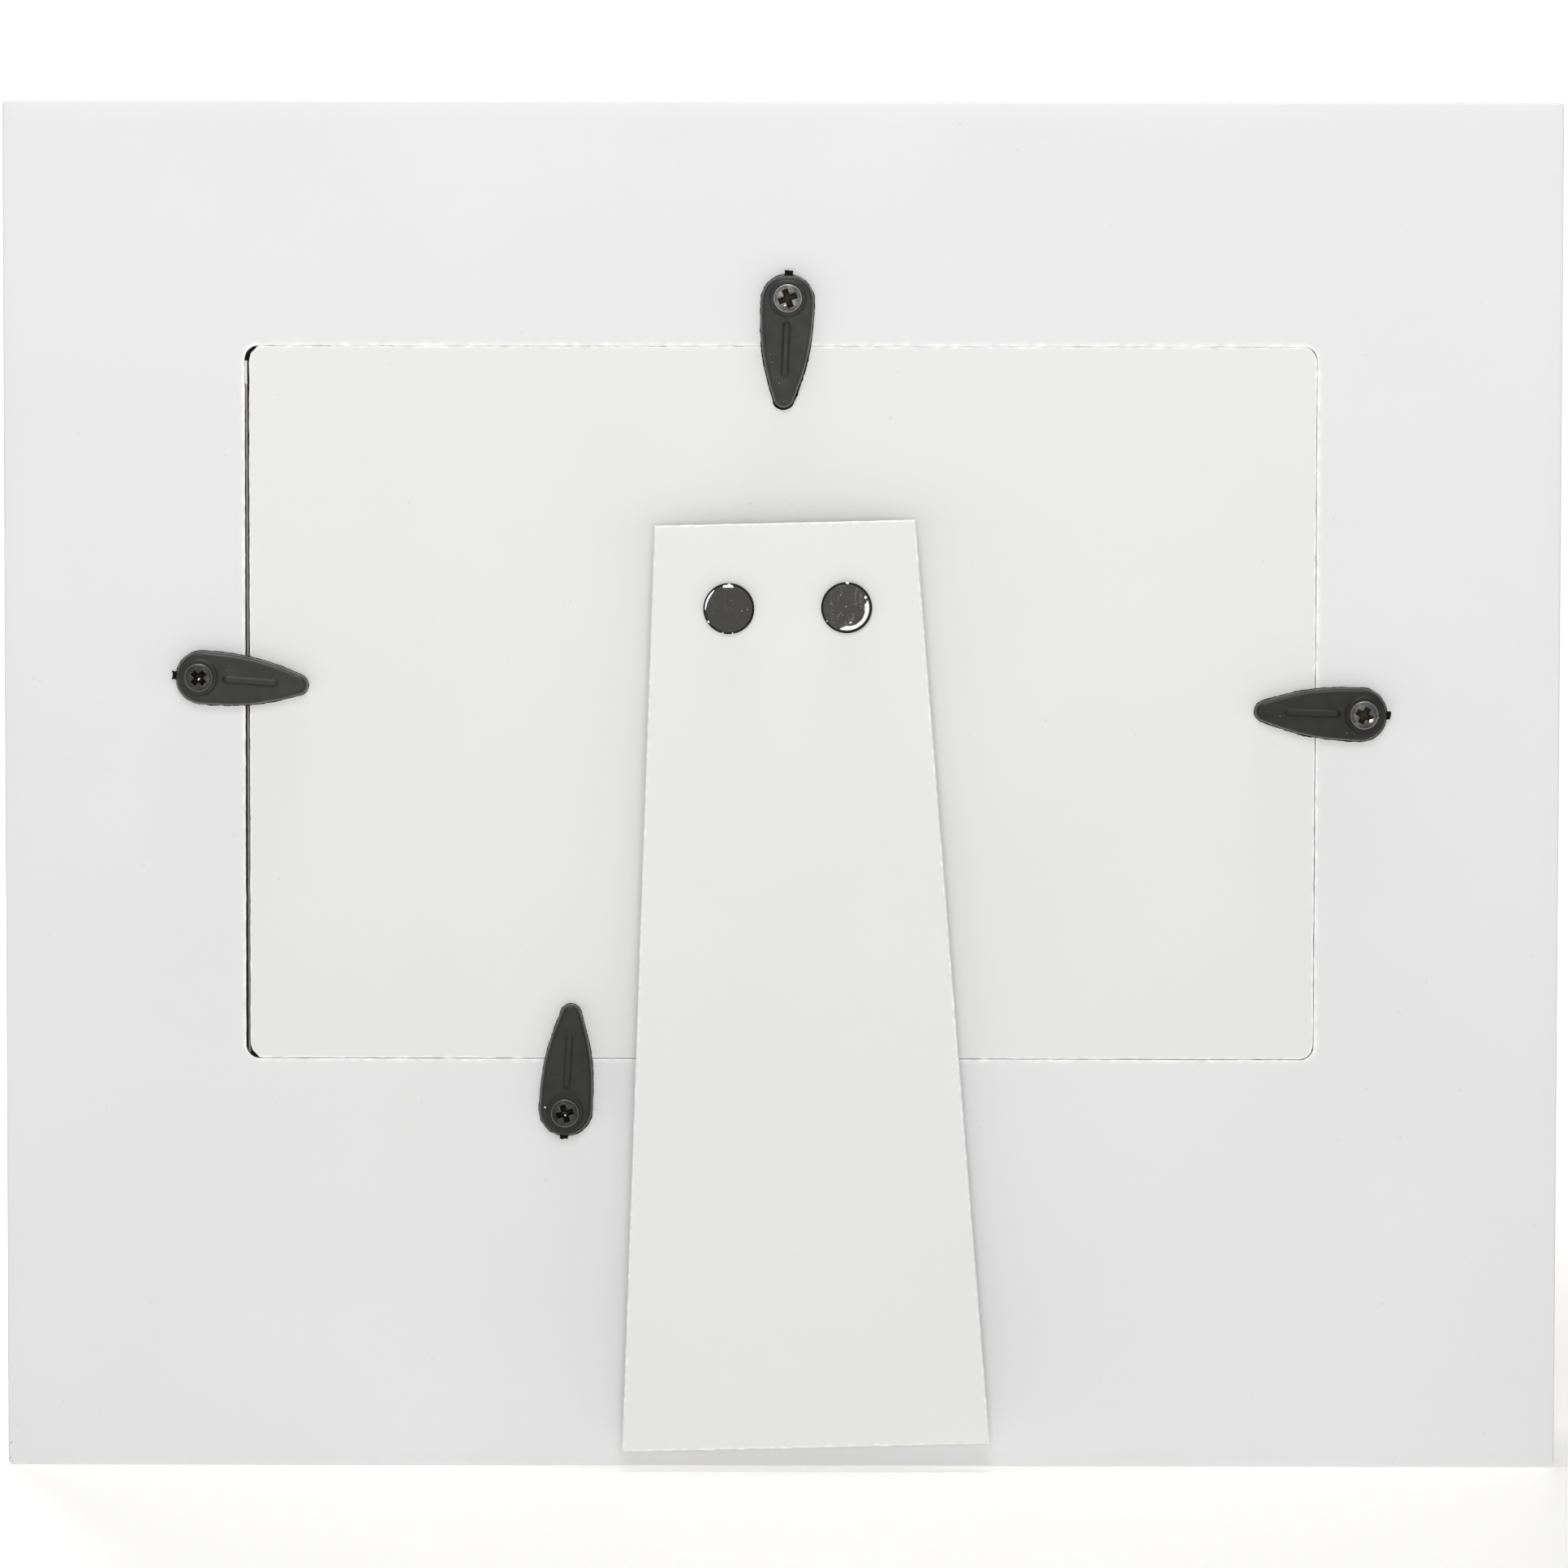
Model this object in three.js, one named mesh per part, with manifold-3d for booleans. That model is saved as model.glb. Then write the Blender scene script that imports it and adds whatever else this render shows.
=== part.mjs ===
// A free-standing photo frame for a 152 x 102 mm print, with an easel back.
//
// The frame is one routed board. A pane, the print, a filler card and the back panel lie in its rebate, and
// four turn buttons, each on its own screw, hold the panel in. An easel strut hangs on a riveted steel hinge.
//
// Millimetres. +X runs along the width and +Z up, and the picture faces -Y. The origin is on the surface that
// the frame stands on, under the middle of its width and of its whole depth with the strut folded. "Left" and
// "right" are as seen from behind, so left is +X.

import * as THREE from "three";
import { mergeVertices } from "three/addons/utils/BufferGeometryUtils.js";
import Module from "manifold-3d";

const wasm = await Module();
wasm.setup();

// ---------------------------------------------------------------- driving dimensions

const ROUND_STEPS = 24; // segments in a full turn of a small round piece
const PLAY = 0.1; // air between two pieces that rest on each other
const CUT_MARGIN = 5; // how far a cutter runs past what it cuts

const board = { width: 224, height: 197, depth: 15, corner: 0.7, edge: 0.5 };
const rebate = { width: 154.2, height: 103, above: 34.8, depth: 7.1, corner: 2, middleX: 0.25 };
const windowLip = 6; // how far the lip in front of the pane reaches in past the rebate
const windowCorner = 0.4;
const windowChamfer = 1;

const pane = { width: 153, height: 101.6, thickness: 2 };
const print = { width: 152.4, height: 101.6, thickness: 0.3 };
const filler = { width: 153.4, height: 100.8, thickness: 1.2 };
const panel = { width: 153.4, height: 102.6, thickness: 2.5, chamfer: 1.5, edge: 0.25 };
panel.middleX = rebate.middleX - 0.2; // it was left pushed over to one side

const strut = {
  topX: -0.35,
  topZ: 136.75,
  length: 133.3,
  topWidth: 37.4,
  footWidth: 53.1,
  thickness: 2.5,
  edge: 0.3,
  skew: 1.4, // degrees that the strut was riveted off square to its hinge
  openest: 30, // degrees from folded to its stop
};

const hinge = { x: -0.7, width: 28, sheet: 0.8, middle: 10, pin: 0.8, bore: 0.95, side: 0.2 };
hinge.barrel = hinge.bore + hinge.sheet - PLAY; // the rolled knuckle's outer radius
const panelLeaf = { height: 18, rivetsBelow: 13.4 };
const strutLeaf = { height: 11, rivetsBelow: 6.25 };

const rivet = { spacing: 17, shank: 1.5, hole: 1.65, head: 3.65, headHeight: 0.9 };
const rivetTail = { radius: 2.4, height: 0.6 };
const rivetFlange = { radius: 3.2, height: 0.4 }; // the flat inner head of a rivet in the back panel

const button = {
  reach: 15.95, // screw axis to tip
  boss: 3.85,
  bossAhead: 0.35, // the boss's centre, towards the tip from the screw
  tip: 1.5,
  tipTurn: 19, // degrees round the tip's arc where the flank leaves it
  thickness: 1.9,
  bevel: 0.6,
  hole: 1.25,
};
const buttonCollar = { foot: 2.75, top: 2.4, height: 0.4 }; // the raised seat under the screw's head
const buttonRib = { from: 3.3, to: 11.4, width: 1.3, height: 0.35 };
const buttonGate = { width: 1.3, length: 0.6, height: 0.9 }; // what is left of the moulding's runner

const screw = { shank: 1, length: 9.5, point: 2.2, head: 2.05, headHeight: 1.2, rim: 0.45, recess: 0.8 };
screw.crossLength = 2.7;
screw.crossWidth = 0.7;
const pilotHole = { radius: 1.15, depth: 9.5 };

// Each fixing: where its screw stands, which way the button points (0 up, 90 to the right of the front view),
// how far it was left turned past that, and how far its cross slot is turned.
const fixings = [
  { side: "top", x: -0.7, z: 168.8, points: 180, turned: 2.3, slot: 20 },
  { side: "left", x: 83.8, z: 114.3, points: -90, turned: 4.4, slot: 46 },
  { side: "right", x: -83.6, z: 109.2, points: 90, turned: 1.8, slot: -28 },
  { side: "bottom", x: 31.2, z: 51.6, points: 0, turned: 3.3, slot: 16 },
];

// ---------------------------------------------------------------- places that follow from them

const behindBoard = 2 * (hinge.barrel + PLAY) + strut.thickness + PLAY + rivet.headHeight;
const front = -(board.depth + behindBoard) / 2;
const rear = front + board.depth;
const rebateFoot = board.height - rebate.above - rebate.height;
const rebateMiddle = rebateFoot + rebate.height / 2;
const shelf = rear - rebate.depth;
const windowWidth = rebate.width - 2 * windowLip;
const windowHeight = rebate.height - 2 * windowLip;

const paneFront = shelf + PLAY;
const printFront = paneFront + pane.thickness + PLAY;
const fillerFront = printFront + print.thickness + PLAY;
const panelFront = rear - panel.thickness;

const leafFront = rear + PLAY;
const axisY = leafFront + hinge.barrel;
const strutInner = axisY + hinge.barrel + PLAY;
const strutOuter = strutInner + strut.thickness;

// At its stop the strut's head, above the hinge, leans on the back panel.
const skew = THREE.MathUtils.degToRad(strut.skew);
const openest = THREE.MathUtils.degToRad(strut.openest);
const standoff = hinge.barrel + PLAY;
const stopReach = (standoff * (1 + Math.cos(openest)) - PLAY) / Math.sin(openest);
const headAboveAxis = stopReach - (strut.topWidth / 2) * Math.sin(skew);
const axisZ = strut.topZ - headAboveAxis;

const buttonFoot = rear + 2 * PLAY;
const buttonTop = buttonFoot + button.thickness;
const screwSeat = buttonTop + buttonCollar.height + PLAY;

// ---------------------------------------------------------------- materials

const paint = new THREE.MeshStandardMaterial({ color: 0xe9e9ea, roughness: 0.5 });
const facedBoard = new THREE.MeshStandardMaterial({ color: 0xebebe9, roughness: 0.45 });
const paper = new THREE.MeshStandardMaterial({ color: 0xf1efe9, roughness: 0.8 });
const greyCard = new THREE.MeshStandardMaterial({ color: 0xa39a8c, roughness: 0.9 });
const clearPane = new THREE.MeshStandardMaterial({ color: 0xf4fbf8, roughness: 0.05 });
clearPane.transparent = true;
clearPane.opacity = 0.3;
const blackPlastic = new THREE.MeshStandardMaterial({ color: 0x3c3c3a, roughness: 0.45 });
const blackSteel = new THREE.MeshStandardMaterial({ color: 0x3a3937, roughness: 0.4, metalness: 0.8 });
const blackEnamel = new THREE.MeshStandardMaterial({ color: 0x46453f, roughness: 0.35, metalness: 0.2 });
const zincSteel = new THREE.MeshStandardMaterial({ color: 0xb4b6b8, roughness: 0.35, metalness: 0.9 });

// ---------------------------------------------------------------- solids

// A closed three.js geometry as a manifold-3d solid.
function solidOf(geometry) {
  const loose = geometry.index ? geometry.toNonIndexed() : geometry;
  const bare = new THREE.BufferGeometry().setAttribute("position", loose.getAttribute("position"));
  const merged = mergeVertices(bare, 1e-4);
  const vertProperties = merged.attributes.position.array;
  const triVerts = new Uint32Array(merged.index.array);
  return new wasm.Manifold(new wasm.Mesh({ numProp: 3, vertProperties, triVerts }));
}

function geometryOf(solid) {
  const { vertProperties, triVerts } = solid.getMesh();
  const geometry = new THREE.BufferGeometry();
  geometry.setAttribute("position", new THREE.BufferAttribute(vertProperties, 3));
  geometry.setIndex(new THREE.BufferAttribute(triVerts, 1));
  geometry.computeVertexNormals();
  return geometry;
}

// A geometry with others joined on, then others cut away.
function carved(base, { add = [], cut = [] }) {
  const joined = add.reduce((solid, piece) => solid.add(solidOf(piece)), solidOf(base));
  return geometryOf(cut.reduce((solid, piece) => solid.subtract(solidOf(piece)), joined));
}

// A shape drawn in x and z, standing upright from y = from to y = to, with its outline beveled at both faces.
function plate(shape, from, to, bevel = 0, bevelSegments = 2, curveSegments = 8) {
  const geometry = new THREE.ExtrudeGeometry(shape, {
    depth: to - from - 2 * bevel,
    bevelEnabled: bevel > 0,
    bevelThickness: bevel,
    bevelSize: bevel,
    bevelOffset: -bevel,
    bevelSegments,
    curveSegments,
  });
  return geometry.rotateX(Math.PI / 2).translate(0, to - bevel, 0);
}

// A closed profile of [radius, y] pairs, from low y to high y, turned round the Y axis.
function turned(profile) {
  return new THREE.LatheGeometry(profile.map(([r, y]) => new THREE.Vector2(r, y)), ROUND_STEPS);
}

function rod(radius, from, to) {
  const middle = (from + to) / 2;
  return new THREE.CylinderGeometry(radius, radius, to - from, ROUND_STEPS).translate(0, middle, 0);
}

function block(width, from, to, low, high, x = 0) {
  const box = new THREE.BoxGeometry(width, to - from, high - low);
  return box.translate(x, (from + to) / 2, (low + high) / 2);
}

// ---------------------------------------------------------------- outlines

function roundedRectangle(width, height, radius, middleX, middleZ) {
  const left = middleX - width / 2 + radius;
  const right = middleX + width / 2 - radius;
  const top = middleZ + height / 2 - radius;
  const foot = middleZ - height / 2 + radius;
  const shape = new THREE.Shape();
  shape.absarc(right, top, radius, 0, Math.PI / 2);
  shape.absarc(left, top, radius, Math.PI / 2, Math.PI);
  shape.absarc(left, foot, radius, Math.PI, 1.5 * Math.PI);
  shape.absarc(right, foot, radius, 1.5 * Math.PI, 2 * Math.PI);
  return shape;
}

function chamferedRectangle(width, height, chamfer, middleX, middleZ) {
  const points = [];
  for (const [sx, sz] of [[1, 1], [-1, 1], [-1, -1], [1, -1]]) {
    const side = new THREE.Vector2(middleX + (sx * width) / 2, middleZ + sz * (height / 2 - chamfer));
    const end = new THREE.Vector2(middleX + sx * (width / 2 - chamfer), middleZ + (sz * height) / 2);
    points.push(...(sx === sz ? [side, end] : [end, side]));
  }
  return new THREE.Shape(points);
}

function strutOutline() {
  return new THREE.Shape([
    new THREE.Vector2(-strut.footWidth / 2, -strut.length),
    new THREE.Vector2(strut.footWidth / 2, -strut.length),
    new THREE.Vector2(strut.topWidth / 2, 0),
    new THREE.Vector2(-strut.topWidth / 2, 0),
  ]);
}

// A teardrop: a round boss about the screw, with flanks that curve in to a small round tip.
function buttonOutline() {
  const turn = THREE.MathUtils.degToRad(button.tipTurn);
  const tipMiddle = button.reach - button.tip;
  const flankX = button.tip * Math.cos(turn);
  const flankZ = tipMiddle + button.tip * Math.sin(turn);
  const pull = 4.6; // how far the flank holds its direction as it nears the tip
  const shoulder = 7.2; // how far the flank stays nearly straight from the boss
  const shape = new THREE.Shape();
  shape.absarc(0, button.bossAhead, button.boss, Math.PI, 2 * Math.PI);
  shape.bezierCurveTo(
    button.boss, shoulder,
    flankX + pull * Math.tan(turn), flankZ - pull,
    flankX, flankZ,
  );
  shape.absarc(0, tipMiddle, button.tip, turn, Math.PI - turn);
  shape.bezierCurveTo(
    -flankX - pull * Math.tan(turn), flankZ - pull,
    -button.boss, shoulder,
    -button.boss, button.bossAhead,
  );
  return shape;
}

function slotOutline(width, from, to) {
  const shape = new THREE.Shape();
  shape.absarc(0, to - width / 2, width / 2, 0, Math.PI);
  shape.absarc(0, from + width / 2, width / 2, Math.PI, 2 * Math.PI);
  return shape;
}

// ---------------------------------------------------------------- the board and what lies in it

function frameBody() {
  const outline = roundedRectangle(board.width, board.height, board.corner, 0, board.height / 2);
  const slab = plate(outline, front, rear, board.edge, 3);
  const rebateOutline = roundedRectangle(
    rebate.width, rebate.height, rebate.corner, rebate.middleX, rebateMiddle,
  );
  const opening = roundedRectangle(windowWidth, windowHeight, windowCorner, rebate.middleX, rebateMiddle);
  const flare = new THREE.ExtrudeGeometry(opening, {
    depth: CUT_MARGIN,
    bevelThickness: windowChamfer,
    bevelSize: windowChamfer,
    bevelSegments: 1,
    curveSegments: 4,
  });
  const cut = [
    plate(opening, front - CUT_MARGIN, rear + CUT_MARGIN, 0, 2, 4),
    flare.rotateX(Math.PI / 2).translate(0, front, 0),
    plate(rebateOutline, shelf, rear + CUT_MARGIN),
  ];
  for (const { x, z } of fixings) {
    cut.push(rod(pilotHole.radius, rear - pilotHole.depth, rear + CUT_MARGIN).translate(x, 0, z));
  }
  return carved(slab, { cut });
}

function sheet({ width, height, thickness }, from) {
  const low = rebateMiddle - height / 2;
  return block(width, from, from + thickness, low, low + height, rebate.middleX);
}

function backPanel() {
  const outline = chamferedRectangle(panel.width, panel.height, panel.chamfer, panel.middleX, rebateMiddle);
  return carved(plate(outline, panelFront, rear, panel.edge), { cut: rivetHoles(panelLeaf) });
}

// ---------------------------------------------------------------- the easel

// The two places, as [x, z], of the rivets in a hinge leaf.
function rivetPlaces({ rivetsBelow }) {
  return [1, -1].map((side) => [hinge.x + (side * rivet.spacing) / 2, axisZ - rivetsBelow]);
}

function rivetHoles(leaf) {
  return rivetPlaces(leaf).map(([x, z]) =>
    rod(rivet.hole, front, strutOuter + CUT_MARGIN).translate(x, 0, z),
  );
}

function easelStrut() {
  const slab = plate(strutOutline(), strutInner, strutOuter, strut.edge);
  slab.rotateY(skew).translate(strut.topX, 0, strut.topZ);
  return carved(slab, { cut: rivetHoles(strutLeaf) });
}

function knuckle(from, to) {
  return new THREE.CylinderGeometry(hinge.barrel, hinge.barrel, to - from, ROUND_STEPS)
    .rotateZ(Math.PI / 2)
    .translate((from + to) / 2, axisY, axisZ);
}

// A hinge leaf: a plate with rivet holes, whose top edge is rolled into knuckles over the given spans of x.
// Over the other leaf's spans the plate stops short of the barrel.
function hingeLeaf(leaf, from, ownSpans, otherSpans) {
  const relief = hinge.barrel + 2 * hinge.side;
  const flat = block(hinge.width, from, from + hinge.sheet, axisZ - leaf.height, axisZ, hinge.x);
  const bore = new THREE.CylinderGeometry(hinge.bore, hinge.bore, 2 * hinge.width, ROUND_STEPS)
    .rotateZ(Math.PI / 2)
    .translate(hinge.x, axisY, axisZ);
  const notches = otherSpans.map(([a, b]) =>
    block(b - a, from - 1, from + 1 + hinge.sheet, axisZ - relief, axisZ + relief, (a + b) / 2),
  );
  const knuckles = ownSpans.map(([a, b]) => knuckle(a, b));
  return carved(flat, { add: knuckles, cut: [bore, ...notches, ...rivetHoles(leaf)] });
}

const innerEnd = hinge.middle / 2;
const outerEnd = hinge.width / 2;
const middleKnuckle = [[hinge.x - innerEnd, hinge.x + innerEnd]];
const outerKnuckles = [
  [hinge.x - outerEnd, hinge.x - innerEnd - hinge.side],
  [hinge.x + innerEnd + hinge.side, hinge.x + outerEnd],
];
const middleNotch = [[hinge.x - innerEnd - hinge.side, hinge.x + innerEnd + hinge.side]];
const outerNotches = [
  [hinge.x - outerEnd - 1, hinge.x - innerEnd],
  [hinge.x + innerEnd, hinge.x + outerEnd + 1],
];

function hingePin() {
  const halfLength = hinge.width / 2 + 0.7;
  const peened = 1.3;
  const profile = [
    [0, -halfLength],
    [peened - 0.2, -halfLength],
    [peened, -halfLength + 0.2],
    [peened, -halfLength + 0.5],
    [hinge.pin, -halfLength + 0.5],
    [hinge.pin, halfLength - 0.5],
    [peened, halfLength - 0.5],
    [peened, halfLength - 0.2],
    [peened - 0.2, halfLength],
    [0, halfLength],
  ];
  return turned(profile).rotateZ(Math.PI / 2).translate(hinge.x, axisY, axisZ);
}

// A rivet through the strut and its leaf: the tail is upset against the leaf, and the wide flat head shows.
function strutRivet([x, z]) {
  const leafInner = strutInner - PLAY - hinge.sheet;
  const tailEnd = leafInner - PLAY - rivetTail.height;
  const seat = strutOuter + PLAY;
  const top = seat + rivet.headHeight;
  return turned([
    [0, tailEnd],
    [rivetTail.radius - 0.3, tailEnd],
    [rivetTail.radius, tailEnd + 0.25],
    [rivetTail.radius, leafInner - PLAY],
    [rivet.shank, leafInner - PLAY],
    [rivet.shank, seat],
    [rivet.head, seat],
    [rivet.head, top - 0.45],
    [rivet.head - 0.15, top - 0.2],
    [rivet.head - 0.5, top - 0.05],
    [0, top],
  ]).translate(x, 0, z);
}

// A rivet through the panel leaf and the panel: its flat flange is inside, and its tail is upset on the leaf.
function panelRivet([x, z]) {
  const leafFace = leafFront + hinge.sheet;
  const tailEnd = leafFace + PLAY + rivetTail.height;
  const flangeTop = panelFront - PLAY;
  return turned([
    [0, flangeTop - rivetFlange.height],
    [rivetFlange.radius, flangeTop - rivetFlange.height],
    [rivetFlange.radius, flangeTop],
    [rivet.shank, flangeTop],
    [rivet.shank, leafFace + PLAY],
    [rivetTail.radius, leafFace + PLAY],
    [rivetTail.radius, tailEnd - 0.25],
    [rivetTail.radius - 0.3, tailEnd],
    [0, tailEnd],
  ]).translate(x, 0, z);
}

// ---------------------------------------------------------------- the turn buttons and their screws

// A button stands on its screw's axis, pointing up.
function turnButton() {
  const domed = plate(buttonOutline(), buttonFoot - button.bevel, buttonTop, button.bevel, 3);
  const below = block(20, buttonFoot - CUT_MARGIN, buttonFoot, -20, 20);
  const collar = turned([
    [0, buttonTop - 0.5],
    [buttonCollar.foot, buttonTop - 0.5],
    [buttonCollar.foot, buttonTop + 0.1],
    [buttonCollar.top, buttonTop + buttonCollar.height],
    [0, buttonTop + buttonCollar.height],
  ]);
  const ribOutline = slotOutline(buttonRib.width, buttonRib.from, buttonRib.to);
  const rib = plate(ribOutline, buttonTop - 0.7, buttonTop + buttonRib.height, 0.2, 1);
  const bossEnd = button.bossAhead - button.boss;
  const gate = block(
    buttonGate.width, buttonFoot + 0.3, buttonFoot + 0.3 + buttonGate.height,
    bossEnd - buttonGate.length, bossEnd + button.bevel + 0.3,
  );
  const bore = rod(button.hole, buttonFoot - CUT_MARGIN, buttonTop + CUT_MARGIN);
  return carved(domed, { add: [collar, rib, gate], cut: [below, bore] });
}

// A pan-head wood screw on its own axis, with a cross recess.
function buttonScrew(slot) {
  const top = screwSeat + screw.headHeight;
  const tip = screwSeat - screw.length;
  const shaft = turned([
    [0, tip],
    [screw.shank, tip + screw.point],
    [screw.shank, screwSeat],
    [screw.head, screwSeat],
    [screw.head, screwSeat + screw.rim],
    [0.92 * screw.head, top - 0.4],
    [0.7 * screw.head, top - 0.1],
    [0, top],
  ]);
  const turn = THREE.MathUtils.degToRad(slot);
  const arms = [0, Math.PI / 2].map((quarter) =>
    new THREE.BoxGeometry(screw.crossWidth, 2 * screw.recess, screw.crossLength)
      .translate(0, top, 0)
      .rotateY(turn + quarter),
  );
  return carved(shaft, { cut: arms });
}

// ---------------------------------------------------------------- assembly

const photoFrame = new THREE.Group();

function place(name, geometry, material) {
  const mesh = new THREE.Mesh(geometry, material);
  mesh.name = name;
  photoFrame.add(mesh);
  return mesh;
}

place("frame_body", frameBody(), paint);
place("glass_pane", sheet(pane, paneFront), clearPane);
place("photo_print", sheet(print, printFront), paper);
place("filler_card", sheet(filler, fillerFront), greyCard);
place("back_panel", backPanel(), facedBoard);

place("easel_strut", easelStrut(), facedBoard);
place("hinge_panel_leaf", hingeLeaf(panelLeaf, leafFront, outerKnuckles, middleNotch), zincSteel);
place(
  "hinge_strut_leaf",
  hingeLeaf(strutLeaf, strutInner - PLAY - hinge.sheet, middleKnuckle, outerNotches),
  zincSteel,
);
place("hinge_pin", hingePin(), zincSteel);
for (const [i, side] of ["left", "right"].entries()) {
  place(`strut_rivet_${side}`, strutRivet(rivetPlaces(strutLeaf)[i]), blackEnamel);
  place(`panel_rivet_${side}`, panelRivet(rivetPlaces(panelLeaf)[i]), zincSteel);
}

for (const { side, x, z, points, turned: past, slot } of fixings) {
  const turnButtonMesh = place(`turn_button_${side}`, turnButton(), blackPlastic);
  turnButtonMesh.position.set(x, 0, z);
  turnButtonMesh.rotation.y = THREE.MathUtils.degToRad(points - past);
  place(`button_screw_${side}`, buttonScrew(slot), blackSteel).position.set(x, 0, z);
}

export default photoFrame;
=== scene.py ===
"""The looks of a tabletop photo frame seen from behind: board, strut, turn buttons, screws and rivets.

Lengths are in millimetres until a mesh is made. Places come from the frame's own nodes where a node
gives them.
"""

import math

import bpy
from mathutils import Matrix, Quaternion, Vector, noise


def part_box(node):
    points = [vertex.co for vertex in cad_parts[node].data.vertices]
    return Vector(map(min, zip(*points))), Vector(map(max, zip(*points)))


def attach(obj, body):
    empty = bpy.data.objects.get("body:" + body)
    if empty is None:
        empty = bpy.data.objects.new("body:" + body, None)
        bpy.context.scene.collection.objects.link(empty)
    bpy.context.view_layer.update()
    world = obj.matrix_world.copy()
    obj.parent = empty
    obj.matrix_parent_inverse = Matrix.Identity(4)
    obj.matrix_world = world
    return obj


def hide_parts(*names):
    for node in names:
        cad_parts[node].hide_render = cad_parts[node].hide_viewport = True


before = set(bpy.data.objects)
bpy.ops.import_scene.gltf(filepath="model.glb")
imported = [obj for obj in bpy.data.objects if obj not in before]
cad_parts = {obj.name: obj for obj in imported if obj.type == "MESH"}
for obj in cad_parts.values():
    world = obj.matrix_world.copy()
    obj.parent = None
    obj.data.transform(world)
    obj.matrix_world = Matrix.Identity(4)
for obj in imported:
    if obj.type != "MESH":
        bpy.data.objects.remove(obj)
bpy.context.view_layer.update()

MM = 0.001
TAU = 2 * math.pi


# ---------------- the frame's own places


def box_mm(node):
    """A node's lowest and highest corners, in millimetres."""
    low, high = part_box(node)
    return low / MM, high / MM


def middle_mm(node):
    low, high = box_mm(node)
    return (low + high) / 2


BOARD_LOW, BOARD_HIGH = box_mm("frame_body")
FRONT, REAR = BOARD_LOW.y, BOARD_HIGH.y
PANEL_LOW, PANEL_HIGH = box_mm("back_panel")
PANE_LOW, PANE_HIGH = box_mm("glass_pane")
CARD_LOW, CARD_HIGH = box_mm("filler_card")
STRUT_LOW, STRUT_HIGH = box_mm("easel_strut")
REBATE_MIDDLE = (PANE_LOW + PANE_HIGH) / 2

# The rebate's upper side and the panel's are drawn this much lower than in the CAD model.
TOP_DROP = 0.2
REBATE_MIDDLE.z -= TOP_DROP / 2
PANEL_HIGH.z -= TOP_DROP

BOARD = {"corner": 0.7, "rear_edge": 0.3, "front_edge": 0.5}
REBATE = {"width": 154.2, "height": 103 - TOP_DROP, "corner": 2, "lip": 6, "chamfer": 1, "window_corner": 0.4}
SHELF = PANE_LOW.y - 0.1
STRUT = {"x": -0.35, "z": 136.75, "length": 133.3, "top": 37.4, "foot": 53.1, "edge": 0.28, "skew": 1.4}
BUTTON = {"reach": 15.65, "boss": 3.85, "ahead": 0.35, "tip": 1.5, "tip_turn": 19, "hole": 1.25}
BUTTON_THICKNESS = 1.9
SCREW_HEAD = 1.2  # height
RIVET_HEAD = 0.9  # height
OUTLINE_SPACING = 0.4  # between the points along a slab's outline
SPINE_STEPS = 24
SPINE_REACH = 26  # of the panel's and the filler's spines, either way from the middle

# How far each button turns from pointing up, about +Y, in degrees, the flash along its lower side, the
# height of its collar and rib, and its shine. Then its screw's cross: its turn and its reach.
FIXINGS = {
    "top": {"points": 177.7, "flash": 0.28, "relief": 0.28, "shine": 0.47, "cross": 20, "reach": 1.4},
    "left": {"points": -94.4, "flash": 0.05, "relief": 0.4, "shine": 0.45, "cross": 46, "reach": 1.18},
    "right": {"points": 88.2, "flash": 0.05, "relief": 0.4, "shine": 0.3, "cross": -28, "reach": 1.26},
    "bottom": {"points": -3.3, "flash": 0.05, "relief": 0.2, "shine": 0.36, "cross": 16, "reach": 1.3},
}


# ---------------- camera, lights and floor


def add_camera():
    data = bpy.data.cameras.new("camera")
    data.sensor_width = 36
    data.lens = 159.5
    data.clip_start = 0.01
    camera = bpy.data.objects.new("camera", data)
    bpy.context.scene.collection.objects.link(camera)
    place = Vector((-1.55, REAR + 1000, 154.4)) * MM
    aim = Vector((-0.28, REAR, 99.0)) * MM
    looking = aim - place
    camera.location = place
    camera.rotation_mode = "QUATERNION"
    roll = Quaternion(looking.normalized(), math.radians(-0.1))
    camera.rotation_quaternion = roll @ looking.to_track_quat("-Z", "Y")
    bpy.context.scene.camera = camera


def add_area_light(name, place, aim, size, power, colour):
    data = bpy.data.lights.new(name, "AREA")
    data.shape = "RECTANGLE"
    data.size, data.size_y = size
    data.energy = power
    data.color = colour
    light = bpy.data.objects.new(name, data)
    bpy.context.scene.collection.objects.link(light)
    light.location = place
    light.rotation_mode = "QUATERNION"
    light.rotation_quaternion = (Vector(aim) - Vector(place)).to_track_quat("-Z", "Y")


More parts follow.
